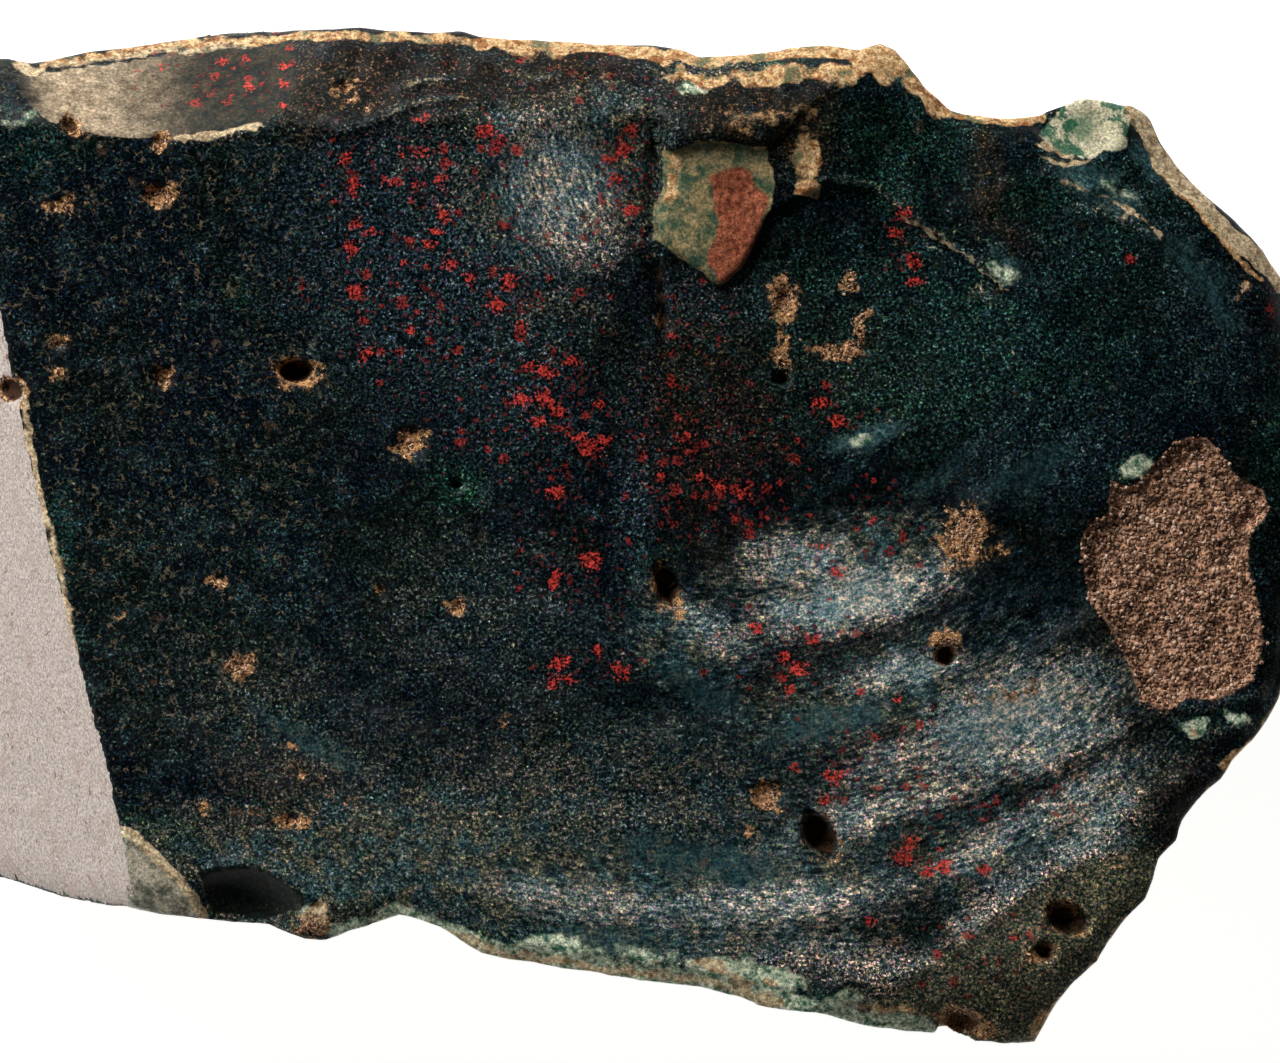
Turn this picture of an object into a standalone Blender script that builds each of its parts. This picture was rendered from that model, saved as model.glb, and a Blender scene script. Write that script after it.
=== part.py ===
"""A hand specimen of bloodstone: one broken lump of dark green chalcedony, sawn across at its left end.

Metres, +Z up. The origin is under the middle of the stone, on the surface that it rests on.
The broad fracture face looks up. It was drawn from a photograph of 1280 by 1063 pixels taken from above, so places
on that face are given in the photograph's pixels, u to the right and v down, and turned into metres by
photo_position. Depths, heights and angles are real sizes.
"""

import math

import bpy
import numpy as np

MM = 0.001

# Driving dimensions.
FACE_LENGTH = 80 * MM
FACE_HEIGHT = 25 * MM
EYE_ABOVE_FACE = 293 * MM
BLANK_HEIGHT = 30 * MM
BLANK_SPREAD = 1.04
TRIANGLES = 8800
VOXELS = (1.2 * MM, 0.52 * MM)

# The photograph's frame. The eye is over its middle, and the origin lies under pixel ORIGIN.
FRAME_MIDDLE = (640.0, 531.5)
ORIGIN = (563.7, 534.1)
FACE_LENGTH_PX = 1453.0
PX = FACE_LENGTH / FACE_LENGTH_PX
EYE_X = (FRAME_MIDDLE[0] - ORIGIN[0]) * PX
EYE_Y = (ORIGIN[1] - FRAME_MIDDLE[1]) * PX
MAP_STEP = 3.0
MAP_LOW = (-260.0, -40.0)
MAP_HIGH = (1370.0, 1110.0)

# The stone's outline from above, clockwise from its top left corner.
OUTLINE = [
    (-151, 205), (-142, 150), (-116, 112), (-80, 84), (-48, 68), (-20, 61), (8, 58), (32, 63), (62, 58),
    (100, 52), (150, 45), (200, 36), (235, 33), (300, 31), (360, 28), (400, 32), (430, 34), (458, 31),
    (480, 37), (540, 41), (600, 46), (655, 46), (680, 50), (700, 58), (725, 58), (760, 54), (790, 48),
    (825, 47), (858, 50), (880, 44), (895, 50), (908, 66), (925, 88), (950, 110), (962, 115), (1000, 120),
    (1040, 117), (1062, 108), (1075, 92), (1087, 84), (1100, 86), (1110, 96), (1122, 103), (1132, 99),
    (1142, 104), (1150, 122), (1160, 143), (1180, 170), (1200, 190), (1235, 221), (1262, 250), (1285, 285),
    (1296, 340), (1302, 420), (1300, 500), (1297, 580), (1292, 650), (1278, 698), (1253, 740), (1231, 760),
    (1220, 778), (1196, 800), (1182, 820), (1174, 840), (1157, 858), (1152, 880), (1145, 898), (1126, 918),
    (1108, 940), (1095, 960), (1073, 980), (1058, 1000), (1045, 1020), (1034, 1041), (1018, 1043),
    (990, 1041), (975, 1040), (950, 1028), (940, 1024), (935, 1033), (900, 1030), (860, 1024), (820, 1014),
    (780, 1008), (760, 1004), (740, 996), (700, 985), (640, 980), (600, 972), (560, 967), (530, 961),
    (500, 957), (482, 952), (462, 940), (440, 927), (420, 919), (400, 914), (380, 919), (360, 927),
    (340, 934), (325, 939), (305, 937), (285, 930), (270, 923), (240, 921), (200, 917), (160, 914),
    (110, 905), (80, 901), (50, 892), (20, 883), (0, 877), (-34, 868), (-59, 852), (-72, 800), (-80, 740),
    (-102, 600), (-124, 450), (-142, 300),
]

# Faces broken or sawn off the upper side. Each starts at a pixel, falls away towards (du, dv) at an angle in
# degrees, and is dished along its fall and across it with these radii. None leaves that direction flat.
CUTS = {
    "saw_cut": ((28, 445), (-0.978, 0.207), 61, None, None),
    "top_scar": ((150, 136), (0.02, -1.0), 50, 16 * MM, 15 * MM),
    "top_left_bevel": ((8, 118), (-0.15, -1.0), 40, None, None),
    "top_middle_bevel": ((440, 104), (0.02, -1.0), 38, 20 * MM, 60 * MM),
    "top_crest": ((760, 92), (0.0, -1.0), 30, None, None),
    "right_strip": ((1192, 216), (0.786, -0.62), 62, None, None),
    "corner_chip": ((160, 868), (-0.75, 0.66), 34, None, 12 * MM),
    "lower_right_face": ((990, 915), (0.62, 0.78), 17, None, 90 * MM),
    "right_chip": ((1190, 716), (0.7, 0.72), 30, 14 * MM, 16 * MM),
    "right_bevel": ((1262, 470), (1.0, 0.0), 35, None, None),
}

# Faces that only bend down from the ones beside them: where each starts, the way that it falls, and the angle.
FACETS = [
    ((1020, 230), (0.62, -0.78), 16),
    ((1085, 215), (0.95, 0.3), 13),
    ((300, 800), (-0.25, 0.97), 9),
    ((845, 120), (0.3, -0.95), 14),
]

# Round bites out of the face and its edges: middle, half widths along and across, turn in degrees, depth.
BITES = {
    "edge_bowl": ((248, 903), 56, 34, 12, 1.5 * MM),
    "green_chip": ((1076, 132), 44, 30, 10, 0.7 * MM),
    "upper_dish": ((900, 150), 110, 60, 20, 0.5 * MM),
    "round_vug": ((352, 92), 30, 24, 20, 0.9 * MM),
    "light_facet": ((575, 190), 85, 105, 70, 0.55 * MM),
}

# Open holes: middle, half widths along and across, turn in degrees, depth.
HOLES = {
    "left_hole": ((295, 371), 21, 13, 5, 1.7 * MM),
    "ring": ((410, 441), 18, 16, 0, 0.45 * MM),
    "halo_hole": ((456, 484), 8, 7, 0, 1.2 * MM),
    "slot_hole": ((668, 586), 28, 13, 62, 2.1 * MM),
    "small_hole": ((946, 656), 13, 12, 0, 1.3 * MM),
    "large_hole": ((821, 836), 28, 19, 55, 2.2 * MM),
    "shallow_hole": ((770, 795), 20, 17, 0, 0.6 * MM),
    "corner_hole": ((1068, 921), 25, 17, 15, 1.7 * MM),
    "corner_hole_small": ((1045, 951), 13, 11, 0, 1.2 * MM),
    "grit_hole": ((783, 378), 11, 9, 0, 1.1 * MM),
    "crack_top": ((656, 243), 8, 7, 80, 1.0 * MM),
    "crack_foot": ((667, 343), 17, 7, 62, 1.1 * MM),
    "saw_edge_hole": ((12, 390), 15, 12, 40, 0.9 * MM),
    "upper_left_hole": ((157, 195), 16, 13, 0, 0.6 * MM),
    "left_dimple": ((163, 377), 13, 12, 0, 0.6 * MM),
    "scar_hole": ((70, 126), 12, 8, 30, 0.8 * MM),
    "foot_hole": ((962, 1022), 24, 14, 20, 1.2 * MM),
}

# Plates that stand proud of the dish: the edge in pixels and the step down from it.
UPPER_PLATE = [
    (620, -80), (664, 150), (655, 236), (690, 262), (720, 287), (741, 268), (754, 246), (768, 216), (800, 199),
    (832, 184), (872, 191), (925, 228), (964, 258), (984, 281), (1014, 293), (1100, 330), (1400, 330),
    (1400, -80),
]
CREST_PLATE = [(650, -80), (668, 151), (700, 143), (764, 146), (800, 113), (820, 98), (860, 60), (900, -80)]
SAND_PATCH = [
    (1112, 482), (1132, 488), (1152, 468), (1175, 441), (1205, 437), (1224, 460), (1236, 478), (1262, 490),
    (1268, 512), (1250, 532), (1246, 562), (1256, 600), (1263, 642), (1250, 682), (1216, 700), (1190, 696),
    (1166, 712), (1140, 700), (1130, 664), (1106, 620), (1090, 600), (1080, 545), (1090, 524), (1108, 514),
]
UPPER_STEP = 0.65 * MM
CREST_STEP = 0.55 * MM
SAND_DEPTH = 0.5 * MM

# The left face is a shallow trough, and the right one a deeper dish. They meet in a ridge.
TROUGH_LINE = 430.0
TROUGH_RADIUS = 135 * MM
DISH_MIDDLE = (905.0, 430.0)
DISH_DEPTH = 2.0 * MM
DISH_RADII = (85 * MM, 100 * MM)

# Ripples spread from the point where the blow fell.
BLOW = (725.0, 105.0)
RIPPLE_LENGTHS = (88.0, 47.0)
RIPPLE_HEIGHTS = (0.16 * MM, 0.05 * MM)

# The broken faces below the outline: direction, the height at which each one reaches the outline, and how far it
# leans out from upright, in degrees.
UNDERSIDES = [
    (0, 20 * MM, 38), (32, 18 * MM, 35), (62, 17 * MM, 33), (88, 17 * MM, 27), (104, 15 * MM, 34),
    (138, 13 * MM, 36), (176, 5 * MM, 42), (205, 6 * MM, 30), (232, 8 * MM, 38), (258, 17 * MM, 40),
    (277, 21 * MM, 34), (305, 18 * MM, 44), (328, 19 * MM, 35),
    (15, 10 * MM, 60), (80, 9 * MM, 60), (118, 8 * MM, 62), (187, 4 * MM, 74), (252, 8 * MM, 61), (300, 10 * MM, 57),
    (262, 5 * MM, 76), (97, 4.5 * MM, 76), (8, 6 * MM, 77),
]
# Each of them is hollowed by this share of that height, out to this distance from its middle.
SIDE_HOLLOW = 0.09
SIDE_HOLLOW_REACH = 13 * MM

# Under the rim the outline draws in, and loses its small bends between these depths.
WALL_LEAN = 0.12
WALL_RADIUS = 60 * MM
WALL_EVEN = (2 * MM, 9 * MM)
WALL_BLUR = 50.0

# Shallow scars on the sides: middle and radius of the sphere that each one follows.
SIDE_SCARS = [
    ((48 * MM, -42 * MM, 2 * MM), 31 * MM),
    ((-12 * MM, -58 * MM, 0), 40 * MM),
    ((8 * MM, 60 * MM, 4 * MM), 36 * MM),
    ((52 * MM, 22 * MM, -6 * MM), 28 * MM),
    ((-44 * MM, 44 * MM, 4 * MM), 27 * MM),
]
# Smaller scars across the arrises between those faces: bearing, height, radius of the hollow and its depth.
SIDE_FLAKES = [
    (16, 9 * MM, 24 * MM, 1.4 * MM), (47, 12 * MM, 20 * MM, 1.2 * MM), (75, 7 * MM, 26 * MM, 1.5 * MM),
    (121, 9 * MM, 20 * MM, 1.2 * MM), (245, 8 * MM, 18 * MM, 1.2 * MM), (268, 14 * MM, 24 * MM, 1.6 * MM),
    (291, 9 * MM, 20 * MM, 1.3 * MM), (316, 13 * MM, 22 * MM, 1.5 * MM), (344, 8 * MM, 20 * MM, 1.3 * MM),
    (98, 14 * MM, 15 * MM, 0.8 * MM), (280, 5 * MM, 12 * MM, 0.8 * MM), (330, 5 * MM, 14 * MM, 0.9 * MM),
]
# Between which distances from the middle, and at how many points, the side is looked for.
FLAKE_SEARCH = (5 * MM, 50 * MM, 400)
EDGE_ROUNDING = 0.35 * MM
RIM_ROUNDING = 0.7 * MM
UNDERSIDE_ROUNDING = 1.2 * MM
RIM_DROP = 0.5 * MM
RIM_WIDTH = 14.0


def clear_scene():
    for old in list(bpy.data.objects):
        bpy.data.objects.remove(old, do_unlink=True)


def smooth_step(low, high, value):
    share = np.clip((value - low) / (high - low), 0, 1)
    return share * share * (3 - 2 * share)


def smooth_max(a, b, width):
    """The larger of a and b, rounded where they are closer than width."""
    near = np.clip(1 - np.abs(a - b) / width, 0, 1)
    return np.maximum(a, b) + near * near * width / 4


def lattice_value(i, j, k, seed):
    """A repeatable value from -1 to 1 at each whole-number point."""
    h = (i * 73856093) ^ (j * 19349663) ^ (k * 83492791) ^ (seed * 265443576)
    h = (h ^ (h >> 13)) * 1274126177
    return ((h ^ (h >> 16)) & 0xFFFF) / 32767.5 - 1


def value_noise(x, y, z, seed):
    """Smooth noise from about -1 to 1, with features one unit across."""
    low = [np.floor(axis).astype(np.int64) for axis in (x, y, z)]
    part = [smooth_step(0, 1, axis - corner) for axis, corner in zip((x, y, z), low)]
    total = 0
    for step_x in (0, 1):
        for step_y in (0, 1):
            for step_z in (0, 1):
                steps = (step_x, step_y, step_z)
                weight = 1
                for share, step in zip(part, steps):
                    weight = weight * (share if step else 1 - share)
                total = total + weight * lattice_value(low[0] + step_x, low[1] + step_y, low[2] + step_z, seed)
    return total


def polygon_distance(u, v, corners):
    """Signed distance in pixels to a closed outline, negative inside."""
    nearest = np.full(u.shape, np.inf)
    inside = np.zeros(u.shape, bool)
    for (u0, v0), (u1, v1) in zip(corners, corners[1:] + corners[:1]):
        du, dv = u1 - u0, v1 - v0
        along = np.clip(((u - u0) * du + (v - v0) * dv) / (du * du + dv * dv), 0, 1)
        nearest = np.minimum(nearest, (u - u0 - along * du) ** 2 + (v - v0 - along * dv) ** 2)
        if dv:
            crosses = ((v0 > v) != (v1 > v)) & (u < u0 + (v - v0) * du / dv)
            inside ^= crosses
    return np.where(inside, -1, 1) * np.sqrt(nearest)


def ellipse_share(u, v, middle, half_along, half_across, turn):
    """0 at the middle of a turned ellipse, and 1 on its edge."""
    c, s = math.cos(math.radians(turn)), math.sin(math.radians(turn))
    du, dv = u - middle[0], v - middle[1]
    return np.hypot((du * c + dv * s) / half_along, (dv * c - du * s) / half_across)


def main_faces(u, v):
    """Height of the trough and the dish, before anything is broken off."""
    trough = FACE_HEIGHT + ((v - TROUGH_LINE) * PX) ** 2 / (2 * TROUGH_RADIUS)
    du, dv = (u - DISH_MIDDLE[0]) * PX, (v - DISH_MIDDLE[1]) * PX
    dish = FACE_HEIGHT - DISH_DEPTH + du ** 2 / (2 * DISH_RADII[0]) + dv ** 2 / (2 * DISH_RADII[1])
    return -smooth_max(-trough, -dish, EDGE_ROUNDING)


def ripples(u, v):
    """Waves of the fracture, strongest low down on the right."""
    du, dv = u - BLOW[0], v - BLOW[1]
    reach = np.hypot(du, dv)
    reach = reach + 22 * value_noise(u / 150, v / 150, 0 * u, 5)
    bearing = np.degrees(np.arctan2(du, dv))
    strength = smooth_step(330, 520, reach) * smooth_step(-75, 10, bearing) * (1 - smooth_step(32, 58, bearing))
    height = 0
    for length, size in zip(RIPPLE_LENGTHS, RIPPLE_HEIGHTS):
        height = height + size * np.sin(2 * math.pi * reach / length)
    return height * (0.15 + 0.85 * strength) * smooth_step(250, 420, reach)


def cut_height(u, v, start, fall, angle, radius_along, radius_across, start_height):
    """Height of the surface that one cut leaves."""
    du, dv = (u - start[0]) * PX, (v - start[1]) * PX
    size = math.hypot(*fall)
    along = (du * fall[0] + dv * fall[1]) / size
    across = (dv * fall[0] - du * fall[1]) / size
    height = start_height - math.tan(math.radians(angle)) * along
    if radius_along:
        height = height + np.clip(along, 0, None) ** 2 / (2 * radius_along)
    if radius_across:
        height = height + across ** 2 / (2 * radius_across)
    return height


def top_height(u, v, edge):
    """Height of the upper surface over each pixel; edge is the distance to the outline."""
    height = main_faces(u, v) + ripples(u, v)
    plate = smooth_step(5, -3, polygon_distance(u, v, UPPER_PLATE)) * smooth_step(1180, 1010, u)
    plate = plate * smooth_step(630, 705, u) * (1 - 0.6 * smooth_step(830, 900, u))
    crest = smooth_step(4, -3, polygon_distance(u, v, CREST_PLATE))
    height = height + UPPER_STEP * plate + CREST_STEP * crest
    for start, towards, angle in FACETS:
        along = ((u - start[0]) * towards[0] + (v - start[1]) * towards[1]) / math.hypot(*towards) * PX
        height = height - math.tan(math.radians(angle)) * smooth_max(along, 0 * along, EDGE_ROUNDING)
    for middle, half_along, half_across, turn, depth in BITES.values():
        share = ellipse_share(u, v, middle, half_along, half_across, turn)
        height = height - depth * np.clip(1 - share ** 2, 0, None)
    for start, fall, angle, radius_along, radius_across in CUTS.values():
        at = np.array([float(start[0])]), np.array([float(start[1])])
        start_height = main_faces(*at)[0]
        cut = cut_height(u, v, start, fall, angle, radius_along, radius_across, start_height)
        height = -smooth_max(-height, -cut, EDGE_ROUNDING)
    sand = polygon_distance(u, v, SAND_PATCH)
    height = height - SAND_DEPTH * smooth_step(2, -9, sand)
    wobble = 1 + 0.16 * value_noise(u / 9, v / 9, 0 * u, 3)
    for middle, half_along, half_across, turn, depth in HOLES.values():
        share = ellipse_share(u, v, middle, half_along, half_across, turn) * wobble
        height = height - depth * smooth_step(1.12, 0.35, share)
    height = height - RIM_DROP * np.exp(-((edge / RIM_WIDTH) ** 2))
    return height + 0.1 * MM * value_noise(u / 34, v / 34, 0 * u, 1)


def blurred(grid, size):
    """A map evened out over a square of this many pixels, four times over."""
    half = int(size / 2 / MAP_STEP)
    for _ in range(4):
        for axis in (0, 1):
            ends = [(half, half) if axis == side else (0, 0) for side in (0, 1)]
            total = np.cumsum(np.pad(grid, ends, mode="edge"), axis=axis)
            total = np.insert(total, 0, 0, axis=axis)
            width = 2 * half + 1
            count = grid.shape[axis]
            late = np.take(total, np.arange(width, width + count), axis=axis)
            grid = (late - np.take(total, np.arange(count), axis=axis)) / width
    return grid


def make_maps():
    """The outline distance, an evened one and the upper surface's height, once on an even grid of pixels."""
    across = np.arange(MAP_LOW[0], MAP_HIGH[0], MAP_STEP)
    down = np.arange(MAP_LOW[1], MAP_HIGH[1], MAP_STEP)
    u, v = np.meshgrid(across, down)
    edge = polygon_distance(u, v, OUTLINE)
    return edge * PX, blurred(edge, WALL_BLUR) * PX, top_height(u, v, edge)


def read_map(grid, u, v):
    """A map's value between its grid points."""
    column = np.clip((u - MAP_LOW[0]) / MAP_STEP, 0, grid.shape[1] - 1.001)
    row = np.clip((v - MAP_LOW[1]) / MAP_STEP, 0, grid.shape[0] - 1.001)
    i, j = row.astype(int), column.astype(int)
    a, b = row - i, column - j
    upper = grid[i, j] * (1 - b) + grid[i, j + 1] * b
    lower = grid[i + 1, j] * (1 - b) + grid[i + 1, j + 1] * b
    return upper * (1 - a) + lower * a


def photo_position(points):
    """The pixel at which each point is seen from the eye."""
    scale = EYE_ABOVE_FACE / (EYE_ABOVE_FACE + FACE_HEIGHT - points[:, 2]) / PX
    return FRAME_MIDDLE[0] + (points[:, 0] - EYE_X) * scale, FRAME_MIDDLE[1] - (points[:, 1] - EYE_Y) * scale


def outline_reach(bearing, height):
    """How far the outline reaches from the origin in one direction, at one height."""
    size = PX * (EYE_ABOVE_FACE + FACE_HEIGHT - height) / EYE_ABOVE_FACE
    c, s = math.cos(math.radians(bearing)), math.sin(math.radians(bearing))
    return max(
        (EYE_X + (u - FRAME_MIDDLE[0]) * size) * c + (EYE_Y - (v - FRAME_MIDDLE[1]) * size) * s
        for u, v in OUTLINE
    )


def side_distance(x, y, z, bearing, height, lean):
    """Distance outside one broken face, which leans out from upright and is slightly hollow."""
    c, s = math.cos(math.radians(bearing)), math.sin(math.radians(bearing))
    outward = x * c + y * s - outline_reach(bearing, height)
    across = y * c - x * s
    up = outward * math.sin(lean) + (z - height) * math.cos(lean) + height / 2 / math.cos(lean)
    hollow = 1 - (across ** 2 + up ** 2) / SIDE_HOLLOW_REACH ** 2
    return outward * math.cos(lean) + (height - z) * math.sin(lean) + SIDE_HOLLOW * height * hollow


def stone_field(points, maps, flakes):
    """Roughly the distance outside the stone's surface, negative inside it."""
    edge_map, even_map, top_map = maps
    x, y, z = points.T
    u, v = photo_position(points)
    above = z - read_map(top_map, u, v)
    under = np.clip(-above, 0, None)
    even = smooth_step(*WALL_EVEN, under)
    wall = read_map(edge_map, u, v) * (1 - even) + read_map(even_map, u, v) * even
    wall = wall - WALL_LEAN * above + under ** 2 / (2 * WALL_RADIUS)
    field = smooth_max(above, wall, EDGE_ROUNDING)
    below = -z
    for bearing, height, lean in UNDERSIDES:
        side = side_distance(x, y, z, bearing, height, math.radians(lean))
        below = smooth_max(below, side, UNDERSIDE_ROUNDING)
    for middle, radius in SIDE_SCARS:
        scar = radius - np.linalg.norm(points - np.array(middle), axis=1)
        below = smooth_max(below, scar, UNDERSIDE_ROUNDING / 2)
    rough = value_noise(x / (6 * MM), y / (6 * MM), z / (6 * MM), 2) * 0.35 * MM
    below = below + rough * smooth_step(0.5 * MM, 3 * MM, z)
    for middle, radius in flakes:
        below = smooth_max(below, radius - np.linalg.norm(points - middle, axis=1), EDGE_ROUNDING)
    return smooth_max(field, below, RIM_ROUNDING)


def field_slope(points, value, maps, flakes):
    """How fast the field grows along each axis."""
    step = 0.03 * MM
    slope = np.empty_like(points)
    for axis in range(3):
        moved = points.copy()
        moved[:, axis] += step
        slope[:, axis] = (stone_field(moved, maps, flakes) - value) / step
    return slope


def place_flakes(maps):
    """The sphere that each side flake follows, sunk square into the side where a level ray meets it."""
    flakes = []
    reach = np.linspace(*FLAKE_SEARCH)
    for bearing, height, radius, depth in SIDE_FLAKES:
        c, s = math.cos(math.radians(bearing)), math.sin(math.radians(bearing))
        ray = np.stack([c * reach, s * reach, np.full(len(reach), height)], axis=1)
        at = ray[np.argmin(np.abs(stone_field(ray, maps, [])))][None]
        outward = field_slope(at, stone_field(at, maps, []), maps, [])[0]
        flakes.append((at[0] + outward / np.linalg.norm(outward) * (radius - depth), radius))
    return flakes


def settle(points, edges, maps, flakes, rounds):
    """Evens out the points and moves them onto the stone's surface, several times."""
    count = np.bincount(edges.ravel(), minlength=len(points))[:, None]
    for _ in range(rounds):
        around = np.zeros_like(points)
        np.add.at(around, edges[:, 0], points[edges[:, 1]])
        np.add.at(around, edges[:, 1], points[edges[:, 0]])
        points = points * 0.6 + around / count * 0.4
        for _ in range(2):
            value = stone_field(points, maps, flakes)
            slope = field_slope(points, value, maps, flakes)
            size = np.clip((slope ** 2).sum(axis=1), 0.3, None)
            points = points - np.clip(value / size, -1 * MM, 1 * MM)[:, None] * slope
    return points


def outline_blank():
    """The outline as a flat filled curve, extruded to a block that holds the whole stone."""
    curve = bpy.data.curves.new("outline", "CURVE")
    curve.dimensions = "2D"
    curve.fill_mode = "BOTH"
    curve.extrude = BLANK_HEIGHT / 2
    spline = curve.splines.new("POLY")
    spline.points.add(len(OUTLINE) - 1)
    spline.use_cyclic_u = True
    for point, (u, v) in zip(spline.points, OUTLINE):
        point.co = ((u - ORIGIN[0]) * BLANK_SPREAD * PX, (ORIGIN[1] - v) * BLANK_SPREAD * PX, 0, 1)
    flat = bpy.data.objects.new("outline", curve)
    bpy.context.scene.collection.objects.link(flat)
    flat.location.z = BLANK_HEIGHT / 2
    return mesh_of(flat, "bloodstone")


def mesh_of(source, name):
    """Replaces an object by a mesh object of its evaluated shape, at the world's origin."""
    bpy.context.view_layer.update()
    graph = bpy.context.evaluated_depsgraph_get()
    mesh = bpy.data.meshes.new_from_object(source.evaluated_get(graph))
    mesh.transform(source.matrix_world)
    bpy.data.objects.remove(source, do_unlink=True)
    made = bpy.data.objects.new(name, mesh)
    bpy.context.scene.collection.objects.link(made)
    return made


def remeshed(stone, voxel):
    """The same shape with an even skin of small squares."""
    modifier = stone.modifiers.new("even_skin", "REMESH")
    modifier.mode = "VOXEL"
    modifier.voxel_size = voxel
    return mesh_of(stone, "bloodstone")


def mesh_arrays(mesh):
    points = np.empty(len(mesh.vertices) * 3)
    mesh.vertices.foreach_get("co", points)
    edges = np.empty(len(mesh.edges) * 2, np.int64)
    mesh.edges.foreach_get("vertices", edges)
    return points.reshape(-1, 3), edges.reshape(-1, 2)


def carve(stone, maps, flakes, first):
    """Shapes the block's skin. The first time, its top is brought down to the upper surface."""
    points, edges = mesh_arrays(stone.data)
    if first:
        u, v = photo_position(points)
        points[:, 2] *= read_map(maps[-1], u, v) / BLANK_HEIGHT
    points = settle(points, edges, maps, flakes, 5)
    stone.data.vertices.foreach_set("co", points.ravel())
    stone.data.update()


def fewer_faces(stone):
    """Thins the skin where it is flat, then lays the resting face and the middle on their planes."""
    stone.data.calc_loop_triangles()
    modifier = stone.modifiers.new("fewer_faces", "DECIMATE")
    modifier.ratio = TRIANGLES / len(stone.data.loop_triangles)
    stone = mesh_of(stone, "bloodstone")
    points, _ = mesh_arrays(stone.data)
    points[:, 2] = np.where(points[:, 2] < 0.05 * MM, 0, points[:, 2])
    middle = (points.min(axis=0) + points.max(axis=0)) / 2
    points[:, :2] -= middle[:2]
    stone.data.vertices.foreach_set("co", points.ravel())
    stone.data.update()
    return stone


def chalcedony():
    material = bpy.data.materials.new("dark_green_chalcedony")
    material.use_nodes = True
    shader = material.node_tree.nodes["Principled BSDF"]
    shader.inputs["Base Color"].default_value = (0.012, 0.035, 0.032, 1)
    shader.inputs["Roughness"].default_value = 0.42
    shader.inputs["Metallic"].default_value = 0
    return material


def build_stone():
    maps = make_maps()
    flakes = place_flakes(maps)
    stone = outline_blank()
    for number, voxel in enumerate(VOXELS):
        stone = remeshed(stone, voxel)
        carve(stone, maps, flakes, first=number == 0)
    stone = fewer_faces(stone)
    stone.data.materials.append(chalcedony())
    stone.data.shade_smooth()
    stone.data.set_sharp_from_angle(angle=math.radians(35))
    specimen = bpy.data.collections.new("bloodstone_specimen")
    bpy.context.scene.collection.children.link(specimen)
    bpy.context.scene.collection.objects.unlink(stone)
    specimen.objects.link(stone)


clear_scene()
build_stone()
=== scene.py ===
"""Looks of the bloodstone hand specimen: its finely broken skin, colours, grit, light and camera.

Metres, +Z up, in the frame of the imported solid. The skin follows the solid's own surface, with finer marks
on it.
Places on the broad face are given in the photograph's pixels, 1280 by 1063, u to the right and v down.
"""

import math

import bmesh
import bpy
import numpy as np
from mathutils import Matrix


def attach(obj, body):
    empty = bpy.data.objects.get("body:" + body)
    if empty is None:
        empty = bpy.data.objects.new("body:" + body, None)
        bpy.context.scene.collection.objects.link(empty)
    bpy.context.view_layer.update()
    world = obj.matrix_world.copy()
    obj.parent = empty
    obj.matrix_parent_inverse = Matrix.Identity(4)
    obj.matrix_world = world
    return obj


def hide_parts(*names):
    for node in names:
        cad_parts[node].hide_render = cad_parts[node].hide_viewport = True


MM = 0.001
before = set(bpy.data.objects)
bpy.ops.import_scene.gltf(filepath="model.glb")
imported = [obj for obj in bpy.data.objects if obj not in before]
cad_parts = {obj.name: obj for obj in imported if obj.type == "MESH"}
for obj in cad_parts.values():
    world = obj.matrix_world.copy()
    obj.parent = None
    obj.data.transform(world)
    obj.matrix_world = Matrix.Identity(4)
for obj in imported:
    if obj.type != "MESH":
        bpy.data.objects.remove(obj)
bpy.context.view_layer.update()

# The solid's driving dimensions.
FACE_LENGTH = 80 * MM
FACE_HEIGHT = 25 * MM
EYE_ABOVE_FACE = 293 * MM
BLANK_HEIGHT = 30 * MM
BLANK_SPREAD = 1.04

# The photograph's frame. The eye is over its middle, and the origin lies under pixel ORIGIN.
PHOTO_SIZE = (1280, 1063)
FRAME_MIDDLE = (640.0, 531.5)
ORIGIN = (563.7, 534.1)
FACE_LENGTH_PX = 1453.0
PX = FACE_LENGTH / FACE_LENGTH_PX
EYE_X = (FRAME_MIDDLE[0] - ORIGIN[0]) * PX
EYE_Y = (ORIGIN[1] - FRAME_MIDDLE[1]) * PX

# How finely the skin is made.
FIRST_VOXEL = 1.2 * MM
SKIN_VOXEL = 0.235 * MM
SKIN_TRIANGLES = 190000
SEEN_WEIGHT = 0.1
HIDDEN_WEIGHT = 0.6
SHARP_ANGLE = math.radians(50)
MAP_STEP = 1.5
MAP_LOW = (-260.0, -40.0)
MAP_HIGH = (1370.0, 1110.0)

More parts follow.
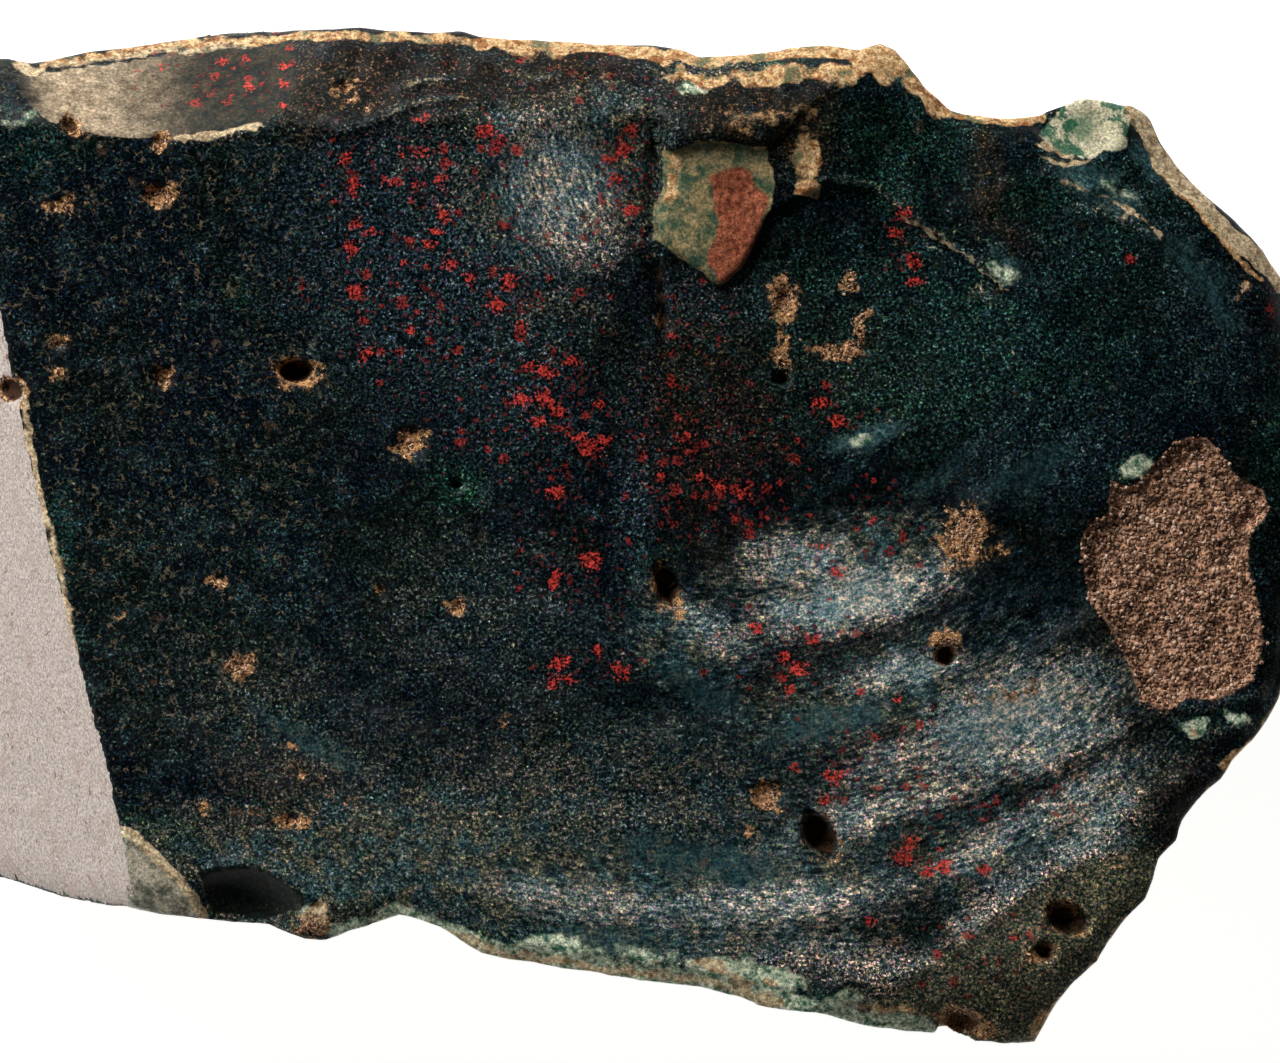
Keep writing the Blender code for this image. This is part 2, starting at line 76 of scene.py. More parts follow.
# The stone's outline from above, clockwise from its top left corner.
OUTLINE = [
    (-151, 205), (-142, 150), (-116, 112), (-80, 84), (-48, 68), (-20, 61), (8, 58), (32, 63), (62, 58),
    (100, 52), (150, 45), (200, 36), (235, 33), (300, 31), (360, 28), (400, 32), (430, 34), (458, 31),
    (480, 37), (540, 41), (600, 46), (655, 46), (680, 50), (700, 58), (725, 58), (760, 54), (790, 48),
    (825, 47), (858, 50), (880, 44), (895, 50), (908, 66), (925, 88), (950, 110), (962, 115),
    (1000, 120), (1040, 117), (1062, 108), (1075, 92), (1087, 84), (1100, 86), (1110, 96), (1122, 103),
    (1132, 99), (1142, 104), (1150, 122), (1160, 143), (1180, 170), (1200, 190), (1235, 221),
    (1262, 250), (1285, 285), (1296, 340), (1302, 420), (1300, 500), (1297, 580), (1292, 650),
    (1278, 698), (1253, 740), (1231, 760), (1220, 778), (1196, 800), (1182, 820), (1174, 840),
    (1157, 858), (1152, 880), (1145, 898), (1126, 918), (1108, 940), (1095, 960), (1073, 980),
    (1058, 1000), (1045, 1020), (1034, 1041), (1018, 1043), (990, 1041), (975, 1040), (950, 1028),
    (940, 1024), (935, 1033), (900, 1030), (860, 1024), (820, 1014), (780, 1008), (760, 1004),
    (740, 996), (700, 985), (640, 980), (600, 972), (560, 967), (530, 961), (500, 957), (482, 952),
    (462, 940), (440, 927), (420, 919), (400, 914), (380, 919), (360, 927), (340, 934), (325, 939),
    (305, 937), (285, 930), (270, 923), (240, 921), (200, 917), (160, 914), (110, 905), (80, 901),
    (50, 892), (20, 883), (0, 877), (-34, 868), (-59, 852), (-72, 800), (-80, 740), (-102, 600),
    (-124, 450), (-142, 300),
]

# Faces broken or sawn off the upper side. Each starts at a pixel, falls away towards (du, dv) at an angle in
# degrees, and is dished along its fall and across it with these radii. None leaves that direction flat.
CUTS = {
    "saw_cut": ((28, 445), (-0.978, 0.207), 61, None, None),
    "top_scar": ((150, 136), (0.02, -1.0), 50, 16 * MM, 15 * MM),
    "top_left_bevel": ((8, 118), (-0.15, -1.0), 40, None, None),
    "top_middle_bevel": ((440, 104), (0.02, -1.0), 38, 20 * MM, 60 * MM),
    "top_crest": ((760, 92), (0.0, -1.0), 30, None, None),
    "right_strip": ((1192, 216), (0.786, -0.62), 62, None, None),
    "corner_chip": ((160, 868), (-0.75, 0.66), 34, None, 12 * MM),
    "lower_right_face": ((990, 915), (0.62, 0.78), 17, None, 90 * MM),
    "right_chip": ((1190, 716), (0.7, 0.72), 30, 14 * MM, 16 * MM),
    "right_bevel": ((1262, 470), (1.0, 0.0), 35, None, None),
}

# Faces that only bend down from the ones beside them: where each starts, the way that it falls, and the
# angle.
FACETS = [
    ((1020, 230), (0.62, -0.78), 16),
    ((1085, 215), (0.95, 0.3), 13),
    ((300, 800), (-0.25, 0.97), 9),
    ((845, 120), (0.3, -0.95), 14),
]

# Round bites out of the face and its edges: middle, half widths along and across, turn in degrees, depth.
BITES = {
    "edge_bowl": ((248, 903), 56, 34, 12, 1.5 * MM),
    "green_chip": ((1076, 132), 44, 30, 10, 0.7 * MM),
    "upper_dish": ((900, 150), 110, 60, 20, 0.5 * MM),
    "round_vug": ((352, 92), 30, 24, 20, 0.9 * MM),
    "light_facet": ((575, 190), 85, 105, 70, 0.55 * MM),
}

# Open holes: middle, half widths along and across, turn in degrees, depth.
HOLES = {
    "left_hole": ((295, 371), 21, 13, 5, 1.7 * MM),
    "ring": ((410, 441), 18, 16, 0, 0.45 * MM),
    "halo_hole": ((456, 484), 8, 7, 0, 1.2 * MM),
    "slot_hole": ((668, 586), 28, 13, 62, 2.1 * MM),
    "small_hole": ((946, 656), 13, 12, 0, 1.3 * MM),
    "large_hole": ((821, 836), 28, 19, 55, 2.2 * MM),
    "shallow_hole": ((770, 795), 20, 17, 0, 0.6 * MM),
    "corner_hole": ((1068, 921), 25, 17, 15, 1.7 * MM),
    "corner_hole_small": ((1045, 951), 13, 11, 0, 1.2 * MM),
    "grit_hole": ((783, 378), 11, 9, 0, 1.1 * MM),
    "crack_top": ((656, 243), 8, 7, 80, 1.0 * MM),
    "crack_foot": ((667, 343), 17, 7, 62, 1.1 * MM),
    "saw_edge_hole": ((12, 390), 15, 12, 40, 0.9 * MM),
    "upper_left_hole": ((157, 195), 16, 13, 0, 0.6 * MM),
    "left_dimple": ((163, 377), 13, 12, 0, 0.6 * MM),
    "scar_hole": ((70, 126), 12, 8, 30, 0.8 * MM),
    "foot_hole": ((962, 1022), 24, 14, 20, 1.2 * MM),
}

# Holes too small for the solid.
SMALL_HOLES = [
    ((160, 140), 9, 7, 0, 0.5 * MM), ((60, 344), 8, 6, 0, 0.4 * MM), ((60, 203), 9, 6, 0, 0.4 * MM),
    ((240, 665), 8, 7, 0, 0.5 * MM), ((382, 592), 7, 5, 0, 0.4 * MM), ((457, 607), 7, 7, 0, 0.4 * MM),
    ((220, 580), 7, 5, 0, 0.35 * MM), ((290, 822), 12, 9, 0, 0.4 * MM), ((1030, 617), 4, 9, 60, 0.4 * MM),
    ((785, 300), 12, 14, 0, 0.4 * MM), ((652, 262), 4, 12, 0, 0.7 * MM), ((657, 300), 4, 16, -8, 0.8 * MM),
    ((403, 37), 9, 3, 0, 0.6 * MM), ((1228, 560), 10, 8, 0, 0.4 * MM), ((1148, 590), 12, 9, 30, 0.4 * MM),
    ((345, 88), 9, 12, 0, 0.4 * MM), ((318, 906), 8, 6, 0, 0.4 * MM), ((935, 545), 8, 6, 0, 0.25 * MM),
]

# Plates that stand proud of the dish: the edge in pixels and the step down from it.
UPPER_PLATE = [
    (620, -80), (664, 150), (655, 236), (690, 262), (720, 287), (741, 268), (754, 246), (768, 216),
    (800, 199), (832, 184), (872, 191), (925, 228), (964, 258), (984, 281), (1014, 293), (1100, 330),
    (1400, 330), (1400, -80),
]
CREST_PLATE = [
    (650, -80), (668, 151), (700, 143), (764, 146), (800, 113), (820, 98), (860, 60), (900, -80),
]
SAND_PATCH = [
    (1112, 482), (1132, 488), (1152, 468), (1175, 441), (1205, 437), (1224, 460), (1236, 478),
    (1262, 490), (1268, 512), (1250, 532), (1246, 562), (1256, 600), (1263, 642), (1250, 682),
    (1216, 700), (1190, 696), (1166, 712), (1140, 700), (1130, 664), (1106, 620), (1090, 600),
    (1080, 545), (1090, 524), (1108, 514),
]
UPPER_STEP = 0.65 * MM
CREST_STEP = 0.55 * MM
SAND_DEPTH = 0.5 * MM

# The left face is a shallow trough, and the right one a deeper dish. They meet in a ridge.
TROUGH_LINE = 430.0
TROUGH_RADIUS = 135 * MM
DISH_MIDDLE = (905.0, 430.0)
DISH_DEPTH = 2.0 * MM
DISH_RADII = (85 * MM, 100 * MM)

# Ripples spread from the point where the blow fell.
BLOW = (725.0, 105.0)
RIPPLE_LENGTHS = (88.0, 47.0)
RIPPLE_HEIGHTS = (0.16 * MM, 0.05 * MM)
EDGE_GROWTH = 1.4

# Fine ribs of the scar in the upper edge: height, and length in pixels.
RIB_HEIGHT = 0.035 * MM
RIB_LENGTH = 8.5

# The broken faces below the outline: direction, the height at which each one reaches the outline, and how
# far it leans out from upright, in degrees.
UNDERSIDES = [
    (0, 20 * MM, 38), (32, 18 * MM, 35), (62, 17 * MM, 33), (88, 17 * MM, 27), (104, 15 * MM, 34),
    (138, 13 * MM, 36), (176, 5 * MM, 42), (205, 6 * MM, 30), (232, 8 * MM, 38), (258, 17 * MM, 40),
    (277, 21 * MM, 34), (305, 18 * MM, 44), (328, 19 * MM, 35), (15, 10 * MM, 60), (80, 9 * MM, 60),
    (118, 8 * MM, 62), (187, 4 * MM, 74), (252, 8 * MM, 61), (300, 10 * MM, 57), (262, 5 * MM, 76),
    (97, 4.5 * MM, 76), (8, 6 * MM, 77),
]
# Each of them is hollowed by this share of that height, out to this distance from its middle.
SIDE_HOLLOW = 0.09
SIDE_HOLLOW_REACH = 13 * MM

# Under the rim the outline draws in, and loses its small bends between these depths.
WALL_LEAN = 0.12
WALL_RADIUS = 60 * MM
WALL_EVEN = (2 * MM, 9 * MM)
WALL_BLUR = 50.0

# Shallow scars on the sides: middle and radius of the sphere that each one follows.
SIDE_SCARS = [
    ((48 * MM, -42 * MM, 2 * MM), 31 * MM),
    ((-12 * MM, -58 * MM, 0), 40 * MM),
    ((8 * MM, 60 * MM, 4 * MM), 36 * MM),
    ((52 * MM, 22 * MM, -6 * MM), 28 * MM),
    ((-44 * MM, 44 * MM, 4 * MM), 27 * MM),
]
# Smaller scars across the arrises between those faces: bearing, height, radius of the hollow and its depth.
SIDE_FLAKES = [
    (16, 9 * MM, 24 * MM, 1.4 * MM), (47, 12 * MM, 20 * MM, 1.2 * MM), (75, 7 * MM, 26 * MM, 1.5 * MM),
    (121, 9 * MM, 20 * MM, 1.2 * MM), (245, 8 * MM, 18 * MM, 1.2 * MM),
    (268, 14 * MM, 24 * MM, 1.6 * MM), (291, 9 * MM, 20 * MM, 1.3 * MM),
    (316, 13 * MM, 22 * MM, 1.5 * MM), (344, 8 * MM, 20 * MM, 1.3 * MM),
    (98, 14 * MM, 15 * MM, 0.8 * MM), (280, 5 * MM, 12 * MM, 0.8 * MM),
    (330, 5 * MM, 14 * MM, 0.9 * MM),
]
# Between which distances from the middle, and at how many points, the side is looked for.
FLAKE_SEARCH = (5 * MM, 50 * MM, 400)
EDGE_ROUNDING = 0.35 * MM
RIM_ROUNDING = 0.7 * MM
UNDERSIDE_ROUNDING = 1.2 * MM
RIM_DROP = 0.5 * MM
RIM_WIDTH = 14.0

# Thin raised lips and sunk cracks on the face: points in pixels, height, half width in pixels.
LIPS = [
    ([(372, 121), (400, 108), (432, 100), (468, 98)], 0.24 * MM, 5),
    ([(392, 92), (425, 80), (470, 78)], 0.22 * MM, 5),
    ([(412, 123), (450, 117), (482, 104)], 0.18 * MM, 5),
    ([(500, 66), (530, 78), (566, 74)], 0.14 * MM, 6),
    ([(976, 292), (988, 300), (996, 296)], 0.14 * MM, 5),
    ([(800, 182), (836, 178), (872, 186), (922, 224), (975, 260), (1012, 288)], 0.12 * MM, 5),
    ([(118, 838), (150, 850), (185, 880), (205, 914)], 0.22 * MM, 9),
    ([(205, 872), (250, 862), (296, 884)], 0.2 * MM, 8),
    ([(150, 141), (215, 141), (262, 132), (292, 120)], 0.12 * MM, 4),
    ([(838, 1000), (890, 985), (940, 960), (1010, 902), (1070, 862), (1140, 842)], 0.16 * MM, 9),
    ([(1098, 208), (1128, 222), (1160, 243)], 0.24 * MM, 6),
    ([(1042, 168), (1090, 190), (1120, 182)], 0.24 * MM, 7),
    ([(1150, 716), (1185, 706), (1240, 700), (1268, 690)], 0.18 * MM, 7),
    ([(1196, 742), (1232, 726), (1262, 722)], 0.16 * MM, 7),
    ([(500, 938), (560, 946), (620, 958), (700, 968), (780, 990)], 0.14 * MM, 7),
    ([(330, 130), (352, 128), (380, 118)], 0.2 * MM, 6),
]
CRACKS = [
    ([(656, 130), (653, 190), (654, 240), (659, 285), (668, 345)], 0.45 * MM, 6),
    ([(668, 345), (642, 430), (634, 520), (628, 600), (621, 652)], 0.07 * MM, 4),
    ([(800, 113), (815, 135), (812, 170), (800, 182)], 0.1 * MM, 4),
    ([(840, 790), (812, 810), (800, 842)], 0.08 * MM, 4),
    ([(664, 240), (690, 266), (721, 291), (745, 272), (760, 245), (776, 216), (803, 202)], 0.14 * MM, 4),
    ([(1150, 228), (1192, 248), (1236, 262)], 0.1 * MM, 4),
]

# Small flakes gone from the sides and the underside, out of sight of the eye.
FLAKE_COUNT = 40
FLAKE_RADII = (6 * MM, 16 * MM)
FLAKE_DEPTHS = (0.2 * MM, 0.6 * MM)
FLAKE_TOP = 16 * MM
FLAKE_LIMIT = 0.5 * MM
FLAKE_SEED = 7
SAWN_BEARINGS = (145, 220)

# Patches of colour on the face: middle, half widths along and across, turn in degrees, strength.
PATCHES = {
    "tan": [
        (350, 98, 30, 22, 20, 0.5), (785, 300, 17, 24, 0, 1.0), (783, 350, 11, 22, 0, 0.8),
        (838, 352, 9, 34, 100, 0.9), (862, 322, 8, 20, 35, 0.9), (850, 283, 9, 9, 0, 0.8),
        (963, 536, 26, 30, 25, 1.0), (1000, 548, 12, 10, 0, 0.6), (945, 650, 17, 18, 0, 0.9),
        (1030, 690, 14, 12, 0, 0.6), (240, 665, 15, 14, 0, 1.0), (160, 192, 22, 14, 0, 0.8),
        (60, 203, 15, 9, 0, 0.7), (62, 345, 11, 8, 0, 0.7), (58, 373, 11, 9, 0, 0.7),
        (163, 377, 14, 14, 0, 0.7), (382, 592, 10, 8, 0, 0.7), (457, 607, 10, 10, 0, 0.8),
        (220, 580, 11, 8, 0, 0.8), (290, 822, 18, 12, 0, 0.8), (290, 748, 9, 7, 0, 0.7),
        (115, 615, 9, 8, 0, 0.6), (12, 391, 16, 14, 0, 1.0), (312, 922, 20, 16, 0, 1.0),
        (768, 795, 17, 19, 0, 0.9), (1068, 921, 28, 20, 15, 0.8), (1045, 951, 16, 13, 0, 0.8),
        (965, 1022, 30, 15, 20, 1.0), (104, 845, 22, 12, 40, 0.6), (160, 140, 12, 10, 0, 1.0),
        (70, 126, 15, 9, 30, 0.8), (409, 441, 18, 16, 0, 0.8), (295, 372, 28, 16, 5, 0.8),
        (668, 592, 30, 15, 62, 0.8), (821, 840, 30, 20, 55, 0.6), (655, 250, 7, 22, 0, 0.7),
        (660, 320, 8, 24, 0, 0.6), (1243, 291, 7, 10, 30, 0.9), (745, 830, 9, 8, 0, 0.6),
        (1015, 680, 10, 8, 0, 0.4), (205, 808, 10, 7, 0, 0.6), (250, 812, 9, 7, 0, 0.6),
        (345, 800, 14, 9, 0, 0.6), (300, 770, 9, 7, 0, 0.5), (535, 770, 10, 8, 0, 0.5),
        (500, 720, 10, 8, 0, 0.5), (1120, 860, 14, 8, -40, 0.5), (1005, 700, 26, 12, -20, 0.5),
        (1080, 770, 24, 14, -20, 0.5), (890, 940, 20, 8, -10, 0.4),
    ],
    "ochre": [
        (878, 62, 30, 18, 0, 1.0), (770, 76, 42, 12, -4, 0.9), (700, 78, 44, 9, 5, 0.7),
        (832, 76, 40, 13, 0, 0.8), (928, 96, 34, 8, 48, 1.0), (640, 54, 60, 8, 0, 0.6),
        (1262, 736, 24, 9, -25, 0.8), (540, 50, 60, 7, 0, 0.6), (806, 158, 14, 24, 0, 0.8),
        (808, 190, 12, 12, 0, 0.9), (1168, 848, 12, 14, 0, 0.4), (672, 178, 7, 34, 4, 0.8),
        (745, 118, 60, 22, 0, 0.46), (800, 118, 30, 40, 0, 0.44), (580, 84, 64, 20, 0, 0.38),
        (1128, 108, 8, 16, 0, 0.9), (955, 960, 40, 8, -30, 0.4), (1100, 900, 10, 40, 40, 0.3),
        (320, 925, 14, 12, 0, 0.8), (960, 1026, 26, 9, 18, 0.8), (1040, 1020, 10, 20, 30, 0.6),
        (880, 1010, 60, 7, 8, 0.6),
    ],
    "brown": [
        (308, 84, 22, 48, 0, 0.9), (360, 78, 58, 40, 0, 0.9), (440, 84, 60, 40, 0, 0.8),
        (560, 76, 84, 34, 0, 0.9), (740, 108, 66, 30, 0, 0.9), (800, 130, 36, 44, 0, 0.8),
        (987, 172, 13, 56, 0, 0.9), (1010, 240, 24, 26, 0, 0.5), (930, 832, 120, 50, -20, 0.6),
        (985, 965, 96, 52, -35, 0.8), (1085, 862, 56, 44, -40, 0.8), (745, 560, 60, 42, 0, 0.5),
        (288, 790, 44, 46, 0, 0.6), (880, 590, 90, 46, -12, 0.5), (1165, 800, 60, 50, 0, 0.5),
        (705, 400, 66, 110, 0, 0.6), (1100, 640, 30, 80, 20, 0.5), (560, 900, 90, 34, 10, 0.5),
        (860, 360, 60, 60, 0, 0.3), (620, 100, 90, 30, 0, 0.5), (450, 850, 200, 60, 0, 0.35),
        (820, 690, 70, 40, -20, 0.5),
    ],
    # Grey: partly the stone's own grey mottling, partly painted highlight on the ripple bands and on facets
    # facing the lamp.
    "grey": [
        (565, 182, 60, 90, 70, 1.0), (530, 128, 50, 26, 0, 0.7), (610, 110, 60, 20, 0, 0.6),
        (390, 862, 220, 60, -4, 0.85), (600, 905, 190, 52, 8, 0.8), (300, 740, 130, 60, 30, 0.15),
        (640, 800, 160, 70, 0, 0.3), (843, 568, 96, 40, -10, 1.0), (880, 690, 120, 36, -18, 0.7),
        (1020, 722, 110, 38, -24, 1.0), (930, 790, 170, 36, -20, 0.6), (760, 880, 180, 40, -6, 0.6),
        (866, 438, 28, 9, -15, 0.6), (690, 640, 60, 40, 20, 0.6), (1090, 800, 80, 28, -30, 0.7),
        (720, 930, 120, 24, 4, 0.7), (985, 296, 14, 6, 20, 1.0), (1000, 850, 90, 30, -25, 0.8),
        (470, 620, 90, 80, 0, 0.12), (1085, 860, 60, 40, -40, 0.7), (970, 960, 80, 40, -30, 0.5),
        (840, 700, 60, 20, -20, 0.5), (930, 830, 80, 24, -20, 0.6), (1108, 205, 26, 9, -10, 0.8),
        (700, 70, 50, 14, 0, 0.5), (440, 150, 50, 20, 0, 0.25), (555, 310, 50, 40, 0, 0.2),
    ],
    "green": [
        (1140, 473, 26, 16, 0, 1.0), (1003, 272, 20, 14, 20, 1.0), (860, 190, 60, 14, 10, 0.7),
        (545, 944, 90, 14, 8, 1.0), (760, 992, 70, 14, 8, 0.9), (240, 292, 12, 11, 0, 0.7),
        (940, 340, 190, 90, 0, 0.6), (900, 140, 90, 46, 0, 0.5), (1110, 220, 90, 70, 0, 0.5),
        (456, 484, 24, 22, 0, 1.0), (885, 405, 50, 26, 0, 0.7), (870, 1016, 60, 10, 5, 0.6),
        (420, 918, 60, 10, 12, 0.8), (1290, 440, 30, 60, 0, 0.5), (1190, 725, 14, 10, 0, 0.9),
        (160, 830, 40, 16, 10, 0.7), (60, 540, 12, 50, 0, 0.6), (780, 64, 26, 10, 0, 0.9),
        (1040, 200, 60, 20, 0, 0.5), (20, 150, 60, 30, 0, 0.4), (660, 560, 30, 30, 0, 0.4),
        (600, 960, 120, 10, 8, 1.0), (960, 980, 60, 24, -20, 0.4), (1235, 720, 14, 9, 0, 1.0),
        (300, 600, 200, 120, 0, 0.08), (700, 400, 40, 30, 0, 0.2), (870, 430, 60, 20, 0, 0.4),
    ],
    # Painted haze: a lighter blue-grey sheen of reflected light over the dark stone.
    "painted_haze": [
        (430, 260, 120, 120, 30, 1.0), (500, 370, 70, 90, -30, 0.8), (330, 190, 60, 60, 0, 0.5),
        (560, 640, 120, 60, 20, 0.4), (980, 330, 110, 70, -20, 0.6), (1060, 440, 70, 60, 0, 0.7),
        (740, 620, 90, 40, 0, 0.7), (700, 760, 120, 50, 0, 0.5), (780, 850, 160, 60, 0, 0.6),
        (560, 810, 160, 50, 0, 0.4), (1000, 620, 90, 40, -10, 0.8), (900, 300, 60, 40, 0, 0.5),
        (1180, 330, 60, 50, 0, 0.4), (1120, 240, 60, 40, 0, 0.6), (634, 520, 20, 130, 0, 1.0),
        (720, 300, 60, 30, 0, 1.0), (645, 380, 14, 60, 0, 0.6),
    ],
    # Painted sheen: soft blue-teal reflections of the light.
    "painted_sheen": [
        (866, 438, 30, 8, -15, 0.8), (1190, 262, 44, 16, 40, 0.35), (1095, 186, 40, 14, 30, 0.6),
        (1030, 470, 50, 16, -30, 0.3), (945, 470, 34, 9, -35, 0.3), (700, 690, 50, 14, 25, 0.3),
        (1216, 300, 30, 10, 50, 0.5), (1150, 160, 22, 8, 45, 0.7), (700, 860, 90, 20, 10, 0.35),
        (830, 720, 60, 14, -15, 0.4), (1008, 260, 16, 8, 30, 0.6), (610, 940, 70, 16, 8, 0.3),
        (310, 740, 60, 12, 30, 0.3),
    ],
    # Painted highlights: pale cream and teal where the ripples, hackles and tilted facets catch the lamp.
    "painted_highlight": [
        (852, 598, 74, 24, -14, 1.0), (905, 672, 50, 12, -12, 0.8), (1004, 718, 84, 32, -24, 1.0),
        (800, 560, 46, 20, 0, 0.6), (1062, 748, 50, 13, -24, 0.7), (936, 742, 90, 16, -22, 0.5),
        (880, 812, 100, 14, -18, 0.5), (1000, 836, 70, 12, -28, 0.6), (1092, 830, 44, 18, -45, 0.7),
        (780, 905, 110, 18, -4, 0.5), (600, 905, 90, 14, 8, 0.5), (710, 630, 40, 16, 30, 0.4),
        (560, 190, 60, 40, 60, 0.5), (1010, 905, 50, 30, -38, 0.5), (930, 985, 60, 14, -20, 0.5),
        (840, 958, 100, 16, 6, 0.3), (1070, 800, 60, 16, -30, 0.5),
    ],
    # Painted glow: light through the thin translucent green edges, laid into the colour; the patch at (862,
    # 440) is a painted highlight.
    "painted_glow": [
        (560, 952, 60, 14, 8, 0.9), (740, 976, 60, 16, 8, 1.0), (640, 955, 40, 12, 8, 0.6),
        (1003, 272, 18, 12, 20, 0.7), (1195, 726, 12, 9, 0, 0.9), (1140, 470, 22, 14, 0, 0.8),
        (1240, 716, 12, 9, 0, 0.8), (862, 440, 18, 7, -15, 0.7), (850, 1000, 40, 12, 8, 0.5),
        (456, 484, 20, 18, 0, 0.35), (1115, 190, 30, 8, 20, 0.5), (1150, 690, 24, 10, 10, 0.6),
        (1170, 150, 10, 20, -30, 0.4), (930, 246, 26, 5, 36, 0.5), (690, 88, 20, 8, 0, 0.7),
        (20, 120, 24, 10, 0, 0.5), (120, 838, 18, 10, 20, 0.6), (340, 928, 26, 9, -10, 0.8),
        (300, 905, 12, 9, 0, 0.6), (1120, 842, 20, 8, -30, 0.4), (1130, 850, 16, 10, -40, 0.4),
    ],
    "cream": [
        (1100, 106, 12, 8, 20, 1.0), (1108, 136, 14, 8, 30, 1.0), (1056, 150, 22, 7, 20, 0.9),
        (716, 968, 14, 8, 0, 1.0), (742, 980, 14, 7, 10, 1.0), (700, 962, 8, 6, 0, 0.8),
        (1243, 291, 6, 9, 30, 0.8), (28, 66, 16, 8, 20, 0.8), (505, 952, 14, 5, 0, 0.9),
        (768, 988, 10, 6, 0, 0.8), (1086, 92, 8, 10, 0, 0.8), (312, 914, 20, 11, 0, 0.9),
        (130, 836, 22, 5, 30, 0.7), (862, 440, 16, 4, -15, 0.4), (1195, 728, 8, 7, 0, 0.7),
        (640, 972, 40, 6, 6, 0.6), (1140, 466, 12, 8, 0, 0.4), (1120, 212, 5, 10, 30, 0.6),
        # These two are painted highlight on the ripple bands.
        (840, 565, 60, 20, -10, 0.3), (1050, 730, 40, 14, -20, 0.3),
    ],
    "red": [
        (356, 172, 30, 40, 0, 0.45), (430, 185, 36, 70, 0, 0.5), (400, 300, 70, 60, 20, 0.5),
        (480, 220, 130, 110, 0, 0.34), (500, 380, 90, 90, 0, 0.32), (492, 148, 22, 20, 0, 0.6),
        (520, 290, 40, 36, 0, 0.6), (556, 400, 44, 50, 0, 0.75), (590, 450, 30, 30, 0, 0.6),
        (560, 488, 18, 14, 0, 0.6), (622, 175, 24, 60, 0, 0.9), (716, 505, 80, 28, 0, 0.6),
        (850, 552, 60, 18, 0, 0.45), (830, 410, 26, 20, 0, 0.6), (220, 78, 66, 26, 0, 0.5),
        (282, 70, 12, 40, 0, 0.5), (560, 70, 90, 24, 0, 0.25), (905, 246, 20, 34, 0, 0.6),
        (790, 640, 60, 50, 0, 0.45), (915, 855, 40, 20, 0, 0.7), (700, 440, 80, 70, 0, 0.5),
        (1276, 305, 10, 22, 0, 1.0), (580, 560, 50, 50, 0, 0.4), (600, 665, 60, 16, 0, 0.5),
        (430, 60, 40, 14, 0, 0.2), (930, 800, 80, 34, 0, 0.45), (990, 960, 60, 40, 0, 0.3),
        (700, 310, 30, 30, 0, 0.4), (880, 540, 40, 20, 0, 0.5), (870, 500, 30, 20, 0, 0.3),
        (640, 90, 60, 20, 0, 0.2), (360, 340, 30, 30, 0, 0.3), (1030, 800, 60, 30, -20, 0.35),
        (860, 750, 70, 40, 0, 0.4),
    ],
}
# Bands of colour along lines: points in pixels, half width in pixels, strength.
BANDS = {
    "ochre": [
        ([(40, 66), (100, 57), (200, 42), (300, 36), (400, 37), (480, 42)], 6, 0.62),
        ([(480, 42), (600, 49), (700, 60), (790, 52), (860, 52), (895, 56)], 7, 0.9),
        ([(895, 54), (926, 92), (962, 117), (1040, 119)], 6, 1.0),
        ([(1212, 790), (1172, 845), (1150, 890), (1096, 962), (1048, 1020), (1032, 1040)], 6, 0.5),
        ([(1284, 690), (1258, 736), (1226, 764)], 6, 0.7),
        ([(1106, 90), (1140, 100), (1158, 138)], 5, 0.7),
        ([(1134, 122), (1158, 164), (1186, 200), (1226, 244), (1262, 280)], 3.5, 0.7),
    ],
    "cream": [
        ([(1138, 108), (1150, 142), (1172, 172), (1196, 198), (1234, 238), (1264, 262), (1284, 286)],
         8, 1.0),
        ([(440, 932), (500, 953), (600, 968), (700, 980), (780, 1003)], 7, 0.6),
        ([(180, 138), (220, 134), (258, 123)], 4, 0.8),
        ([(1120, 205), (1138, 218), (1160, 235)], 3, 0.8),
        ([(126, 836), (150, 852), (182, 882), (202, 912)], 6, 0.8),
        # Painted highlight along the lit edge of the ledge.
        ([(905, 215), (925, 228), (965, 255), (985, 275), (1010, 290)], 3, 0.6),
        ([(22, 392), (34, 470), (52, 540), (66, 600), (82, 690), (96, 760), (106, 840)], 5, 0.65),
        ([(1040, 158), (1066, 166), (1090, 160)], 3, 0.7),
        ([(28, 70), (60, 66), (120, 58), (200, 48), (250, 44)], 5, 0.55),
        ([(106, 838), (112, 870), (122, 908)], 4, 0.6),
        ([(372, 121), (400, 108), (432, 100), (468, 98)], 2.5, 0.45),
        ([(392, 92), (425, 80), (470, 78)], 2.5, 0.38),
        ([(412, 123), (450, 117), (482, 104)], 2.5, 0.38),
        ([(1060, 180), (1100, 196), (1124, 206)], 3, 0.5),
        ([(1070, 862), (1030, 884), (990, 916), (950, 946)], 4, 0.4),
    ],
    # Painted glow of the thin translucent lower edge.
    "painted_glow": [
        ([(396, 916), (440, 931), (482, 952), (560, 966), (640, 979), (700, 984)], 15, 0.85),
        ([(680, 975), (740, 990), (790, 1006), (860, 1020), (930, 1030)], 12, 0.8),
        ([(330, 934), (362, 926), (396, 914)], 9, 0.6),
    ],
    "green": [
        ([(400, 918), (440, 934), (500, 957), (600, 972), (700, 984), (780, 1008), (860, 1022),
          (1000, 1038)], 16, 0.9),
        ([(900, 66), (960, 112), (1040, 118)], 10, 0.5),
        ([(0, 872), (80, 896), (160, 910), (300, 930)], 8, 0.5),
        ([(1140, 845), (1150, 890), (1090, 962), (1030, 1038)], 10, 0.4),
    ],
}
